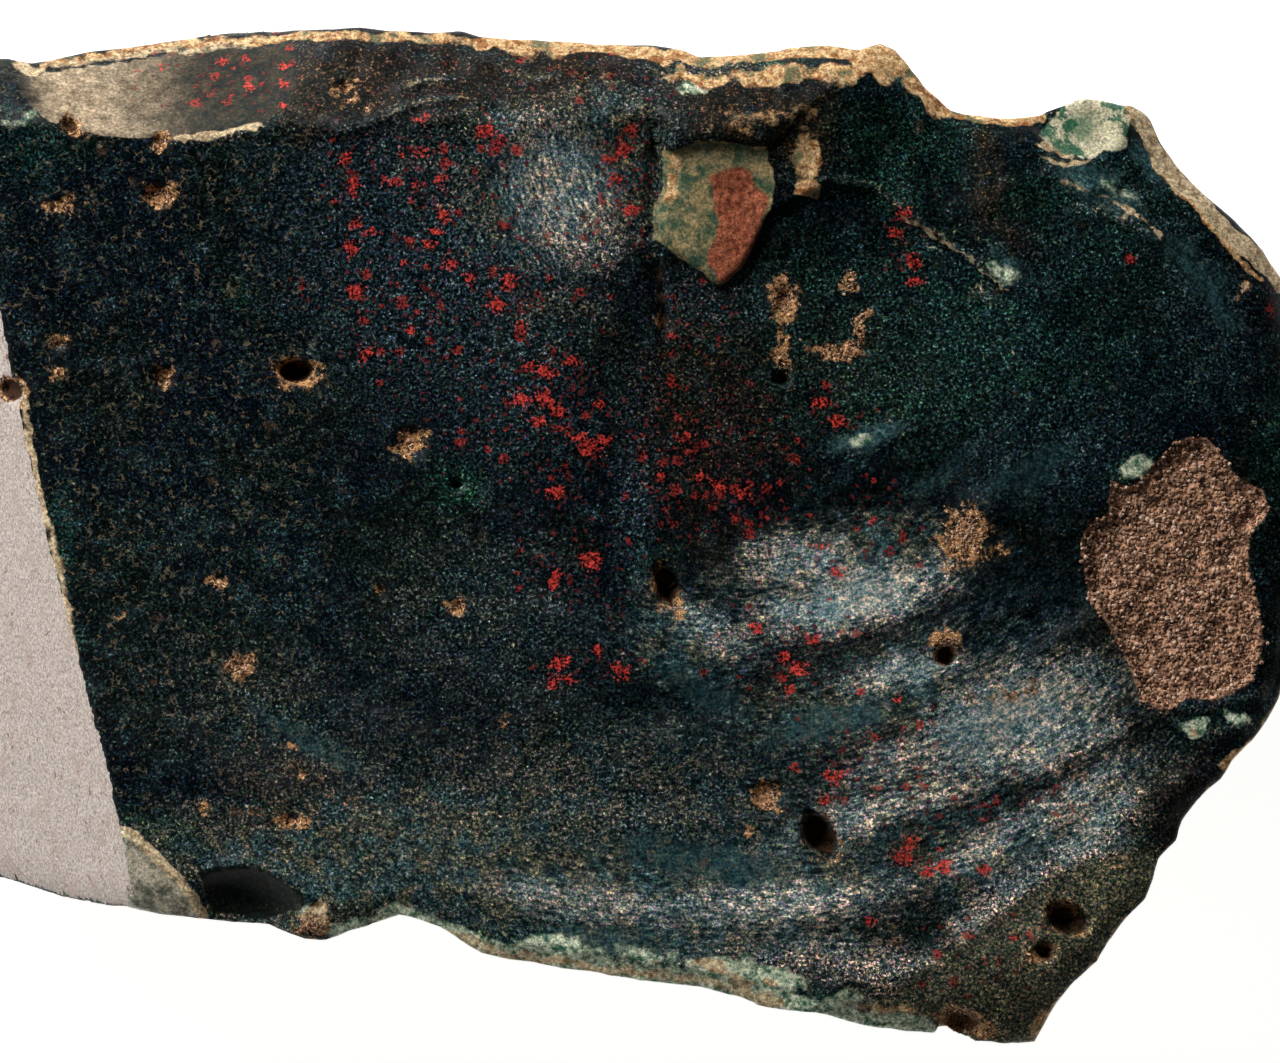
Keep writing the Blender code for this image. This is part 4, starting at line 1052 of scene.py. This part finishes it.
def roughen(points, normals, zones):
    """Moves the skin out and in by the grain of each texture."""
    crusty = np.clip(zones["sand"] + 0.6 * zones["tan"] + 0.2 * zones["ochre"], 0, 1)
    grain = 0.030 * MM * solid_noise(points, 1.5 * MM, 41) + 0.018 * MM * solid_noise(points, 0.62 * MM, 42)
    coarse = 0.12 * MM * solid_noise(points, 0.8 * MM, 43) + 0.08 * MM * solid_noise(points, 0.42 * MM, 44)
    side = smooth_step(0.75, 0.3, normals[:, 2]) * (1 - zones["sawn"])
    broken = 0.10 * MM * solid_noise(points, 2.4 * MM, 45) + 0.05 * MM * solid_noise(points, 0.9 * MM, 46)
    amount = (grain * (1 - crusty) + coarse * crusty) * (1 - 0.93 * zones["sawn"]) + broken * side
    level = smooth_step(0.05 * MM, 0.6 * MM, points[:, 2])
    return points + normals * (amount * level)[:, None]


def build_skin():
    maps = make_maps()
    flakes = [flake_at(maps, *flake) for flake in SIDE_FLAKES]
    small_flakes = place_small_flakes(maps)
    stone = remeshed(outline_blank(), FIRST_VOXEL)
    points = mesh_points(stone.data)
    u, v = photo_position(points)
    points[:, 2] *= read_map(maps[-1], u, v) / BLANK_HEIGHT
    set_points(stone.data, settle(points, mesh_edges(stone.data), 5, maps, flakes))
    stone = remeshed(stone, SKIN_VOXEL)
    points = settle(mesh_points(stone.data), mesh_edges(stone.data), 3, maps, flakes, small_flakes)
    set_points(stone.data, points)
    stone = thinned(stone)
    points, normals = mesh_points(stone.data), mesh_normals(stone.data)
    zones = work_out_zones(points, normals, maps)
    points = roughen(points, normals, zones)
    points[:, 2] = np.clip(points[:, 2], 0, None)
    set_points(stone.data, points)
    for name, values in zones.items():
        layer = stone.data.attributes.new(name, "FLOAT", "POINT")
        layer.data.foreach_set("value", values.astype(np.float32))
    stone.data.shade_smooth()
    stone.data.set_sharp_from_angle(angle=SHARP_ANGLE)
    return stone


def add(tree, kind, inputs, **settings):
    """Adds a shader node. Inputs are values, colours or other nodes' sockets."""
    node = tree.nodes.new(kind)
    for key, value in settings.items():
        setattr(node, key, value)
    for key, value in inputs.items():
        if isinstance(value, bpy.types.NodeSocket):
            tree.links.new(value, node.inputs[key])
        else:
            node.inputs[key].default_value = value
    return node


def calc(tree, operation, a, b=0.0):
    return add(tree, "ShaderNodeMath", {0: a, 1: b}, operation=operation).outputs[0]


def times(tree, a, b):
    return calc(tree, "MULTIPLY", a, b)


def vector(tree, operation, inputs):
    return add(tree, "ShaderNodeVectorMath", inputs, operation=operation).outputs[0]


def noise(tree, at, scale, detail, roughness):
    inputs = {"Vector": at, "Scale": scale, "Detail": detail, "Roughness": roughness}
    return add(tree, "ShaderNodeTexNoise", inputs).outputs["Fac"]


def ramp(tree, value, low, high, start=0.0, end=1.0):
    """Rises smoothly from start to end while the value goes from low to high."""
    inputs = {"Value": value, "From Min": low, "From Max": high, "To Min": start, "To Max": end}
    return add(tree, "ShaderNodeMapRange", inputs, interpolation_type="SMOOTHSTEP").outputs[0]


def mix(tree, share, under, over):
    """Lays one colour over another by a share."""
    return add(tree, "ShaderNodeMix", {0: share, 6: under, 7: over}, data_type="RGBA").outputs[2]


def blend_values(tree, share, under, over):
    return add(tree, "ShaderNodeMix", {0: share, 2: under, 3: over}, data_type="FLOAT").outputs[0]


def zone(tree, name):
    return add(tree, "ShaderNodeAttribute", {}, attribute_name=name).outputs["Fac"]


def broken_zone(tree, name, grain, low=0.42, high=0.62, spread=0.8):
    """A zone whose edge is broken up by the grain."""
    shift = times(tree, calc(tree, "SUBTRACT", grain, 0.5), spread)
    inside = ramp(tree, zone(tree, name), 0.02, 0.15)
    return times(tree, ramp(tree, calc(tree, "ADD", zone(tree, name), shift), low, high), inside)


def patched(tree, colour, share, amount, over):
    """Lays a patch's colour over the rest."""
    return mix(tree, times(tree, share, amount), colour, over)


def two_tone(tree, grain, low, high, dark, pale):
    """A colour that goes from dark to pale while the grain goes from low to high."""
    return mix(tree, ramp(tree, grain, low, high), dark, pale)


def clouded(tree, colour, name, grain, low, high, least, amount, over):
    """Lays a zone's colour over the rest, in clouds that follow the grain. Least is their smallest share."""
    share = times(tree, zone(tree, name), ramp(tree, grain, low, high, least, 1.0))
    return patched(tree, colour, share, amount, over)


def covered(tree, colour, name, grain, low, high, spread, amount, over):
    """Lays a zone's colour over the rest, with an edge broken up by the grain."""
    return patched(tree, colour, broken_zone(tree, name, grain, low, high, spread), amount, over)


def tinted(tree, colour, share, factor):
    """Multiplies a colour by another, by a share."""
    inputs = {0: share, 6: colour, 7: factor}
    return add(tree, "ShaderNodeMix", inputs, data_type="RGBA", blend_type="MULTIPLY").outputs[2]


def speckled(tree, colour, grain, hue, strength):
    """Darkens and brightens a colour by a fine grain, and shifts its hue from grain to grain."""
    light = calc(tree, "POWER", times(tree, grain, 2.0), strength)
    tint = times(tree, strength, 0.14)
    factors = []
    for part in add(tree, "ShaderNodeSeparateColor", {"Color": hue}).outputs:
        factors.append(times(tree, light, calc(tree, "POWER", times(tree, part, 2.0), tint)))
    factor = add(tree, "ShaderNodeCombineColor", dict(enumerate(factors))).outputs[0]
    return tinted(tree, colour, 1.0, factor)


def leaning(tree, colour, grain):
    """Turns the dark grains of a colour to blue, and the light ones to cream."""
    lean = two_tone(tree, grain, 0.40, 0.62, (0.52, 1.10, 1.32, 1), (1.22, 1.0, 0.84, 1))
    return tinted(tree, colour, 0.85, lean)


def curls(tree, at, scale, width):
    """Short thin curling lines, where two noises cross."""
    off = calc(tree, "ABSOLUTE", calc(tree, "SUBTRACT", noise(tree, at, scale, 2, 0.6), 0.5))
    parts = ramp(tree, noise(tree, at, scale * 1.7, 2, 0.5), 0.52, 0.62)
    return times(tree, ramp(tree, off, width, 0.0), parts)


def dots(tree, at, spacing, smallest, largest, density):
    """Scattered ragged dots. Density is the share of the cells that have one."""
    inputs = {"Vector": at, "Scale": 1 / spacing, "Randomness": 1.0}
    cells = add(tree, "ShaderNodeTexVoronoi", inputs).outputs
    pick = add(tree, "ShaderNodeSeparateColor", {"Color": cells["Color"]}).outputs
    radius = blend_values(tree, pick[1], smallest / spacing, largest / spacing)
    inside = ramp(tree, calc(tree, "SUBTRACT", radius, cells["Distance"]), 0.0, 0.08)
    return times(tree, inside, ramp(tree, calc(tree, "SUBTRACT", density, pick[0]), 0.0, 0.02))


class Textures:
    """The noises that the stone's colours share, all at sizes in millimetres."""

    def __init__(self, tree):
        place = add(tree, "ShaderNodeTexCoord", {}).outputs["Object"]
        self.at = vector(tree, "SCALE", {0: place, "Scale": 1 / MM})
        across = times(tree, zone(tree, "reach"), 4.2)
        along = times(tree, zone(tree, "arc"), 1.3)
        flow_at = add(tree, "ShaderNodeCombineXYZ", {"X": across, "Y": along}).outputs[0]
        inputs = {"Vector": self.at, "Scale": 3.4, "Detail": 2.0}
        shift = add(tree, "ShaderNodeTexNoise", inputs).outputs["Color"]
        centred = vector(tree, "SUBTRACT", {0: shift, 1: (0.5, 0.5, 0.5)})
        small = vector(tree, "SCALE", {0: centred, "Scale": 0.55})
        self.ragged_at = vector(tree, "ADD", {0: self.at, 1: small})
        self.wide = noise(tree, self.at, 0.17, 3, 0.55)
        self.clouds = noise(tree, self.at, 0.6, 5, 0.65)
        self.other = noise(tree, self.at, 1.1, 6, 0.7)
        self.middle = noise(tree, self.at, 2.4, 4, 0.7)
        inputs = {"Vector": self.at, "Scale": 6.0, "Detail": 2.0, "Roughness": 0.8}
        fine = add(tree, "ShaderNodeTexNoise", inputs)
        self.fine, self.hue = fine.outputs["Fac"], fine.outputs["Color"]
        self.dashes = noise(tree, flow_at, 1.0, 3, 0.6)


def body_colour(tree, textures):
    """The chalcedony: nearly black, with blue, green, brown and grey clouds, and painted haze, highlight and
    sheen.
    """
    blue, green_black = (0.0006, 0.0026, 0.0052, 1), (0.0009, 0.0030, 0.0030, 1)
    colour = mix(tree, ramp(tree, textures.wide, 0.40, 0.60), blue, green_black)
    colour = mix(tree, ramp(tree, textures.clouds, 0.50, 0.68), colour, (0.0040, 0.0135, 0.0175, 1))
    colour = mix(tree, ramp(tree, textures.other, 0.58, 0.74), colour, (0.017, 0.029, 0.025, 1))
    clouds = {
        "painted_haze": (textures.middle, 0.30, 0.60, 0.35, 0.85, (0.0085, 0.0220, 0.030, 1)),
        "green": (textures.clouds, 0.32, 0.62, 0.25, 0.85, (0.0040, 0.027, 0.021, 1)),
        "brown": (textures.other, 0.36, 0.62, 0.15, 0.92, (0.0135, 0.0092, 0.0038, 1)),
        "corner": (textures.other, 0.36, 0.62, 0.40, 0.90, (0.100, 0.104, 0.066, 1)),
    }
    for name, settings in clouds.items():
        colour = clouded(tree, colour, name, *settings)
    # The grey clouds are partly painted highlight; over them go painted highlights and painted sheen.
    drawn = blend_values(tree, 0.5, textures.middle, textures.dashes)
    dark_grey, pale_grey = (0.056, 0.128, 0.142, 1), (0.135, 0.150, 0.108, 1)
    grey_colour = two_tone(tree, textures.clouds, 0.44, 0.58, dark_grey, pale_grey)
    colour = clouded(tree, colour, "grey", drawn, 0.36, 0.62, 0.1, 0.85, grey_colour)
    painted_highlight_colour = two_tone(tree, textures.clouds, 0.42, 0.60, (0.40, 0.50, 0.51, 1), (0.72, 0.65, 0.57, 1))
    colour = clouded(tree, colour, "painted_highlight", drawn, 0.36, 0.60, 0.4, 0.9, painted_highlight_colour)
    return clouded(tree, colour, "painted_sheen", textures.middle, 0.36, 0.60, 0.2, 0.9, (0.080, 0.19, 0.205, 1))


def wisps(tree, colour, textures):
    """Fine tan and pale green curls in the darker parts."""
    amount = ramp(tree, zone(tree, "worn"), 0.0, 1.0, 0.18, 1.0)
    blots = dots(tree, textures.ragged_at, 1.5, 0.08, 0.42, times(tree, amount, 0.28))
    blots = times(tree, blots, ramp(tree, textures.middle, 0.40, 0.62))
    colour = patched(tree, colour, blots, 0.55, (0.115, 0.062, 0.036, 1))
    tan = times(tree, curls(tree, textures.ragged_at, 1.2, 0.032), amount)
    colour = patched(tree, colour, tan, 0.8, (0.23, 0.18, 0.115, 1))
    pale = times(tree, curls(tree, textures.ragged_at, 1.9, 0.036), amount)
    colour = patched(tree, colour, pale, 0.5, (0.11, 0.165, 0.125, 1))
    specks = dots(tree, textures.ragged_at, 0.46, 0.03, 0.085, 0.085)
    return patched(tree, colour, specks, 0.8, (0.40, 0.38, 0.28, 1))


def red_spots(tree, colour, textures):
    """Red flecks, from dust to clusters."""
    red = zone(tree, "red")
    small = dots(tree, textures.ragged_at, 0.30, 0.04, 0.15, times(tree, red, 1.2))
    colour = patched(tree, colour, small, 0.8, (0.16, 0.020, 0.020, 1))
    large = dots(tree, textures.ragged_at, 0.85, 0.12, 0.40, times(tree, red, 1.15))
    large = times(tree, large, ramp(tree, textures.fine, 0.42, 0.56))
    colour = patched(tree, colour, large, 0.85, (0.36, 0.034, 0.028, 1))
    broken = blend_values(tree, 0.55, textures.middle, textures.fine)
    shift = times(tree, calc(tree, "SUBTRACT", broken, 0.5), 5.0)
    flecks = ramp(tree, calc(tree, "ADD", zone(tree, "fleck"), shift), 0.60, 0.95)
    flecks = times(tree, flecks, ramp(tree, zone(tree, "fleck"), 0.05, 0.2))
    dark_red, bright_red = (0.17, 0.014, 0.014, 1), (0.66, 0.055, 0.042, 1)
    fleck_colour = two_tone(tree, textures.fine, 0.38, 0.60, dark_red, bright_red)
    return patched(tree, colour, flecks, 0.9, fleck_colour)


def crusts(tree, colour, textures):
    """The weathered places: scar, olive flake, rims, rusty pits, cream edges and sand patch, partly with
    painted light and glow.
    """
    scar_dark = two_tone(tree, textures.other, 0.4, 0.65, (0.017, 0.023, 0.020, 1), (0.070, 0.056, 0.034, 1))
    scar_pale = two_tone(tree, textures.other, 0.3, 0.7, (0.27, 0.20, 0.125, 1), (0.80, 0.63, 0.43, 1))
    # Dark olive to pale cream along the scar; its pale left end is partly painted light.
    scar_colour = mix(tree, zone(tree, "pale_scar"), scar_dark, scar_pale)
    colour = covered(tree, colour, "scar", textures.other, 0.3, 0.6, 0.8, 0.9, scar_colour)
    olive = two_tone(tree, textures.other, 0.38, 0.62, (0.070, 0.135, 0.082, 1), (0.50, 0.38, 0.19, 1))
    colour = covered(tree, colour, "olive", textures.middle, 0.35, 0.6, 0.4, 0.95, olive)
    rust = two_tone(tree, textures.middle, 0.35, 0.65, (0.24, 0.046, 0.026, 1), (0.70, 0.21, 0.11, 1))
    colour = covered(tree, colour, "rust", textures.other, 0.4, 0.7, 0.8, 0.9, rust)
    ochre = two_tone(tree, textures.middle, 0.34, 0.60, (0.40, 0.17, 0.050, 1), (1.0, 0.68, 0.35, 1))
    ochre = mix(tree, ramp(tree, textures.clouds, 0.46, 0.38, 0, 0.8), ochre, (0.33, 0.11, 0.030, 1))
    ochre = mix(tree, ramp(tree, textures.clouds, 0.55, 0.61, 0, 0.8), ochre, (0.055, 0.115, 0.062, 1))
    colour = covered(tree, colour, "ochre", textures.other, 0.40, 0.66, 1.0, 0.9, ochre)
    # Painted glow of the thin translucent edges, in pale green.
    painted_glow = two_tone(tree, textures.middle, 0.35, 0.62, (0.035, 0.16, 0.095, 1), (0.92, 1.0, 0.74, 1))
    colour = covered(tree, colour, "painted_glow", textures.other, 0.36, 0.66, 1.0, 0.9, painted_glow)
    crumbs = noise(tree, textures.ragged_at, 2.9, 3, 0.7)
    tan = two_tone(tree, crumbs, 0.42, 0.54, (0.045, 0.018, 0.008, 1), (0.66, 0.34, 0.145, 1))
    tan = mix(tree, ramp(tree, textures.fine, 0.57, 0.68), tan, (1.0, 0.70, 0.42, 1))
    pitted = blend_values(tree, 0.5, textures.other, textures.middle)
    colour = covered(tree, colour, "tan", pitted, 0.42, 0.72, 3.2, 0.92, tan)
    cream = two_tone(tree, textures.middle, 0.32, 0.62, (0.31, 0.20, 0.10, 1), (0.88, 0.70, 0.44, 1))
    colour = covered(tree, colour, "cream", textures.other, 0.42, 0.66, 0.9, 0.95, cream)
    tip = two_tone(tree, textures.clouds, 0.44, 0.49, (0.070, 0.19, 0.115, 1), (0.72, 0.68, 0.47, 1))
    colour = covered(tree, colour, "tip", textures.middle, 0.35, 0.6, 0.8, 0.95, tip)
    colour = patched(tree, colour, zone(tree, "core"), 0.7, (0.035, 0.15, 0.075, 1))
    sand = two_tone(tree, crumbs, 0.42, 0.56, (0.085, 0.038, 0.022, 1), (0.88, 0.50, 0.32, 1))
    sand = mix(tree, ramp(tree, textures.other, 0.42, 0.54, 0.7, 0.0), sand, (0.095, 0.045, 0.028, 1))
    return mix(tree, broken_zone(tree, "sand", textures.middle, 0.3, 0.6, 0.9), colour, sand)


def facet_colour(tree, colour, textures):
    """The grey corner facet beside the sawn face."""
    facet = two_tone(tree, textures.other, 0.36, 0.62, (0.13, 0.14, 0.10, 1), (0.62, 0.56, 0.43, 1))
    return covered(tree, colour, "facet", textures.other, 0.35, 0.6, 0.6, 0.95, facet)


def sawn_colour(tree, textures):
    colour = two_tone(tree, textures.fine, 0.30, 0.70, (0.36, 0.30, 0.275, 1), (0.82, 0.72, 0.66, 1))
    colour = mix(tree, ramp(tree, textures.clouds, 0.5, 0.7, 0, 0.5), colour, (0.50, 0.37, 0.32, 1))
    stained = dots(tree, textures.ragged_at, 0.75, 0.03, 0.19, 0.26)
    stained = calc(tree, "MAXIMUM", stained, curls(tree, textures.at, 0.9, 0.02))
    return mix(tree, times(tree, stained, 0.8), colour, (0.22, 0.10, 0.065, 1))


def stone_material():
    material = bpy.data.materials.new("bloodstone")
    material.use_nodes = True
    tree = material.node_tree
    shader = tree.nodes["Principled BSDF"]
    textures = Textures(tree)

    # The fine speckle is strong in the dark stone, weaker in the grey, painted highlight, painted sheen and
    # olive corner, and drawn out along the hackles.
    streaky = ramp(tree, zone(tree, "streaks"), 0.2, 0.8, 0.0, 0.5)
    grain = blend_values(tree, streaky, textures.fine, textures.dashes)
    bright = calc(tree, "MAXIMUM", zone(tree, "painted_highlight"), times(tree, zone(tree, "grey"), 0.6))
    bright = calc(tree, "MAXIMUM", bright, ramp(tree, zone(tree, "painted_sheen"), 0.0, 0.3))
    bright = calc(tree, "MAXIMUM", bright, times(tree, zone(tree, "corner"), 0.55))
    strength = blend_values(tree, bright, 8.4, 1.6)
    colour = speckled(tree, body_colour(tree, textures), grain, textures.hue, strength)
    colour = leaning(tree, colour, grain)
    colour = facet_colour(tree, wisps(tree, colour, textures), textures)
    colour = red_spots(tree, crusts(tree, colour, textures), textures)
    colour = speckled(tree, colour, textures.fine, textures.hue, 1.6)

    edge = times(tree, calc(tree, "SUBTRACT", textures.other, 0.5), 1.2)
    sawn = ramp(tree, calc(tree, "ADD", zone(tree, "sawn"), edge), 0.38, 0.5)
    colour = mix(tree, sawn, colour, sawn_colour(tree, textures))

    # Holes and cracks are painted dark: painted shade in the recesses, with brown crumbs in part of them.
    dark = calc(tree, "MAXIMUM", zone(tree, "hole"), times(tree, zone(tree, "crack"), 1.1))
    dark = calc(tree, "ADD", dark, times(tree, calc(tree, "SUBTRACT", textures.middle, 0.5), 0.9))
    recess_shade_and_crumbs = two_tone(tree, textures.other, 0.44, 0.56, (0.002, 0.0015, 0.001, 1), (0.050, 0.024, 0.013, 1))
    colour = mix(tree, ramp(tree, dark, 0.5, 0.8, 0, 0.96), colour, recess_shade_and_crumbs)
    bowl = ramp(tree, zone(tree, "bowl"), 0.4, 0.7, 0, 0.92)
    colour = mix(tree, bowl, colour, (0.0035, 0.0085, 0.0060, 1))
    tree.links.new(colour, shader.inputs["Base Color"])

    rough = ramp(tree, textures.clouds, 0.35, 0.65, 0.30, 0.42)
    for name, level in ROUGHNESS.items():
        rough = blend_values(tree, zone(tree, name), rough, level)
    rough = blend_values(tree, bowl, rough, 0.5)
    tree.links.new(rough, shader.inputs["Roughness"])
    shader.inputs["Specular IOR Level"].default_value = 0.13

    relief = blend_values(tree, streaky, textures.middle, textures.dashes)
    inputs = {"Height": relief, "Strength": 0.6, "Distance": 0.04 * MM}
    small = add(tree, "ShaderNodeBump", inputs).outputs[0]
    inputs = {"Height": textures.other, "Strength": 0.5, "Distance": 0.08 * MM, "Normal": small}
    tree.links.new(add(tree, "ShaderNodeBump", inputs).outputs[0], shader.inputs["Normal"])
    return material


def grain_material():
    material = bpy.data.materials.new("iron_stained_grit")
    material.use_nodes = True
    tree = material.node_tree
    shader = tree.nodes["Principled BSDF"]
    pick = zone(tree, "shade")
    colour = two_tone(tree, pick, 0.0, 0.6, (0.080, 0.038, 0.023, 1), (0.52, 0.30, 0.185, 1))
    colour = mix(tree, ramp(tree, pick, 0.8, 0.95), colour, (0.88, 0.64, 0.48, 1))
    tree.links.new(colour, shader.inputs["Base Color"])
    shader.inputs["Roughness"].default_value = 0.7
    return material


def ball_shape():
    """The corners and triangles of a small round ball."""
    ball = bpy.data.meshes.new("ball")
    shape = bmesh.new()
    bmesh.ops.create_icosphere(shape, subdivisions=1, radius=1)
    shape.to_mesh(ball)
    shape.free()
    corners = mesh_points(ball)
    faces = np.array([face.vertices[:] for face in ball.polygons])
    bpy.data.meshes.remove(ball)
    return corners, faces


def build_grains(name, places, sizes, picker, material):
    """Angular grains at the given places, as one mesh."""
    corners, faces = ball_shape()
    count = len(places)
    stretch = picker.uniform(0.6, 1.25, (count, 1, 3))
    dents = picker.uniform(0.72, 1.15, (count, len(corners), 1))
    points = corners[None] * stretch * dents * sizes[:, None, None] + places[:, None]
    mesh = bpy.data.meshes.new(name)
    all_faces = (faces[None] + np.arange(count)[:, None, None] * len(corners)).reshape(-1, 3)
    mesh.from_pydata(points.reshape(-1, 3).tolist(), [], all_faces.tolist())
    layer = mesh.attributes.new("shade", "FLOAT", "POINT")
    layer.data.foreach_set("value", np.repeat(picker.uniform(0, 1, count), len(corners)).astype(np.float32))
    mesh.materials.append(material)
    grains = bpy.data.objects.new(name, mesh)
    bpy.context.scene.collection.objects.link(grains)
    return grains


def seat_grains(stone, picker, count, inside):
    """Picks places on the skin's triangles, where inside says how many there may be."""
    stone.data.calc_loop_triangles()
    corners = np.empty(len(stone.data.loop_triangles) * 3, np.int64)
    stone.data.loop_triangles.foreach_get("vertices", corners)
    corners = corners.reshape(-1, 3)
    points, normals = mesh_points(stone.data), mesh_normals(stone.data)
    sides = points[corners[:, 1:]] - points[corners[:, :1]]
    area = np.linalg.norm(np.cross(sides[:, 0], sides[:, 1]), axis=1)
    chance = inside[corners].mean(axis=1) * (normals[corners, 2].mean(axis=1) > -0.1) * area
    chosen = corners[picker.choice(len(corners), size=count, p=chance / chance.sum())]
    shares = picker.dirichlet((1, 1, 1), count)[:, :, None]
    return (points[chosen] * shares).sum(axis=1), (normals[chosen] * shares).sum(axis=1)


def zone_values(stone, name):
    values = np.empty(len(stone.data.vertices), np.float32)
    stone.data.attributes[name].data.foreach_get("value", values)
    return values.astype(float)


def build_grit(stone):
    picker = np.random.default_rng(GRIT_SEED)
    material = grain_material()
    sand = zone_values(stone, "sand") ** 2
    places, normals = seat_grains(stone, picker, SAND_GRAINS, sand)
    sizes = picker.uniform(*SAND_GRAIN_SIZES, len(places)) * MM
    patch = build_grains("sand_patch_grit", places + normals * 0.02 * MM, sizes, picker, material)
    tan = np.clip(zone_values(stone, "tan") - 0.7, 0, None) * (zone_values(stone, "hole") < 0.5)
    tan = tan * (mesh_points(stone.data)[:, 2] > CRUST_LOWEST)
    places, normals = seat_grains(stone, picker, CRUST_GRAINS, tan)
    sizes = picker.uniform(*CRUST_GRAIN_SIZES, len(places)) * MM
    crust = build_grains("crust_grit", places, sizes, picker, material)
    return [patch, crust]


def area_light(name, direction, distance, size, power, colour):
    light = bpy.data.lights.new(name, "AREA")
    light.size = size
    light.energy = power
    light.color = colour
    lamp = bpy.data.objects.new(name, light)
    bpy.context.scene.collection.objects.link(lamp)
    away = np.array(direction) / np.linalg.norm(direction)
    lamp.location = away * distance + np.array((0, 0, FACE_HEIGHT))
    lamp.rotation_euler = (math.acos(away[2]), 0, math.atan2(away[0], -away[1]))
    return lamp


def build_floor():
    bpy.ops.mesh.primitive_plane_add(size=FLOOR_SIZE, location=(0, 0, 0))
    floor = bpy.context.object
    floor.name = "white_ground"
    material = bpy.data.materials.new("white_ground")
    material.use_nodes = True
    shader = material.node_tree.nodes["Principled BSDF"]
    shader.inputs["Base Color"].default_value = (0.9, 0.9, 0.88, 1)
    shader.inputs["Roughness"].default_value = 0.9
    shader.inputs["Emission Color"].default_value = (1, 1, 0.98, 1)
    shader.inputs["Emission Strength"].default_value = 0.95
    floor.data.materials.append(material)


def build_camera():
    camera = bpy.data.cameras.new("eye")
    camera.sensor_width = 36
    camera.lens = camera.sensor_width * EYE_ABOVE_FACE / (PHOTO_SIZE[0] * PX)
    camera.clip_start = 10 * MM
    camera.clip_end = 5
    eye = bpy.data.objects.new("eye", camera)
    bpy.context.scene.collection.objects.link(eye)
    eye.location = (EYE_X, EYE_Y, FACE_HEIGHT + EYE_ABOVE_FACE)
    bpy.context.scene.camera = eye


def build_light():
    area_light("key", KEY_FROM, KEY_DISTANCE, KEY_SIZE, KEY_POWER, (1, 0.98, 0.95))
    area_light("fill", FILL_FROM, FILL_DISTANCE, FILL_SIZE, FILL_POWER, (0.95, 0.97, 1))
    world = bpy.data.worlds.new("room")
    bpy.context.scene.world = world
    world.use_nodes = True
    background = world.node_tree.nodes["Background"]
    background.inputs["Color"].default_value = (0.9, 0.97, 1, 1)
    background.inputs["Strength"].default_value = WORLD_LIGHT
    bpy.context.scene.view_settings.view_transform = "Standard"


skin = build_skin()
skin.data.materials.clear()
skin.data.materials.append(stone_material())
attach(skin, "root")
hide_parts("bloodstone")
for grit in build_grit(skin):
    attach(grit, "root")
build_floor()
build_light()
build_camera()
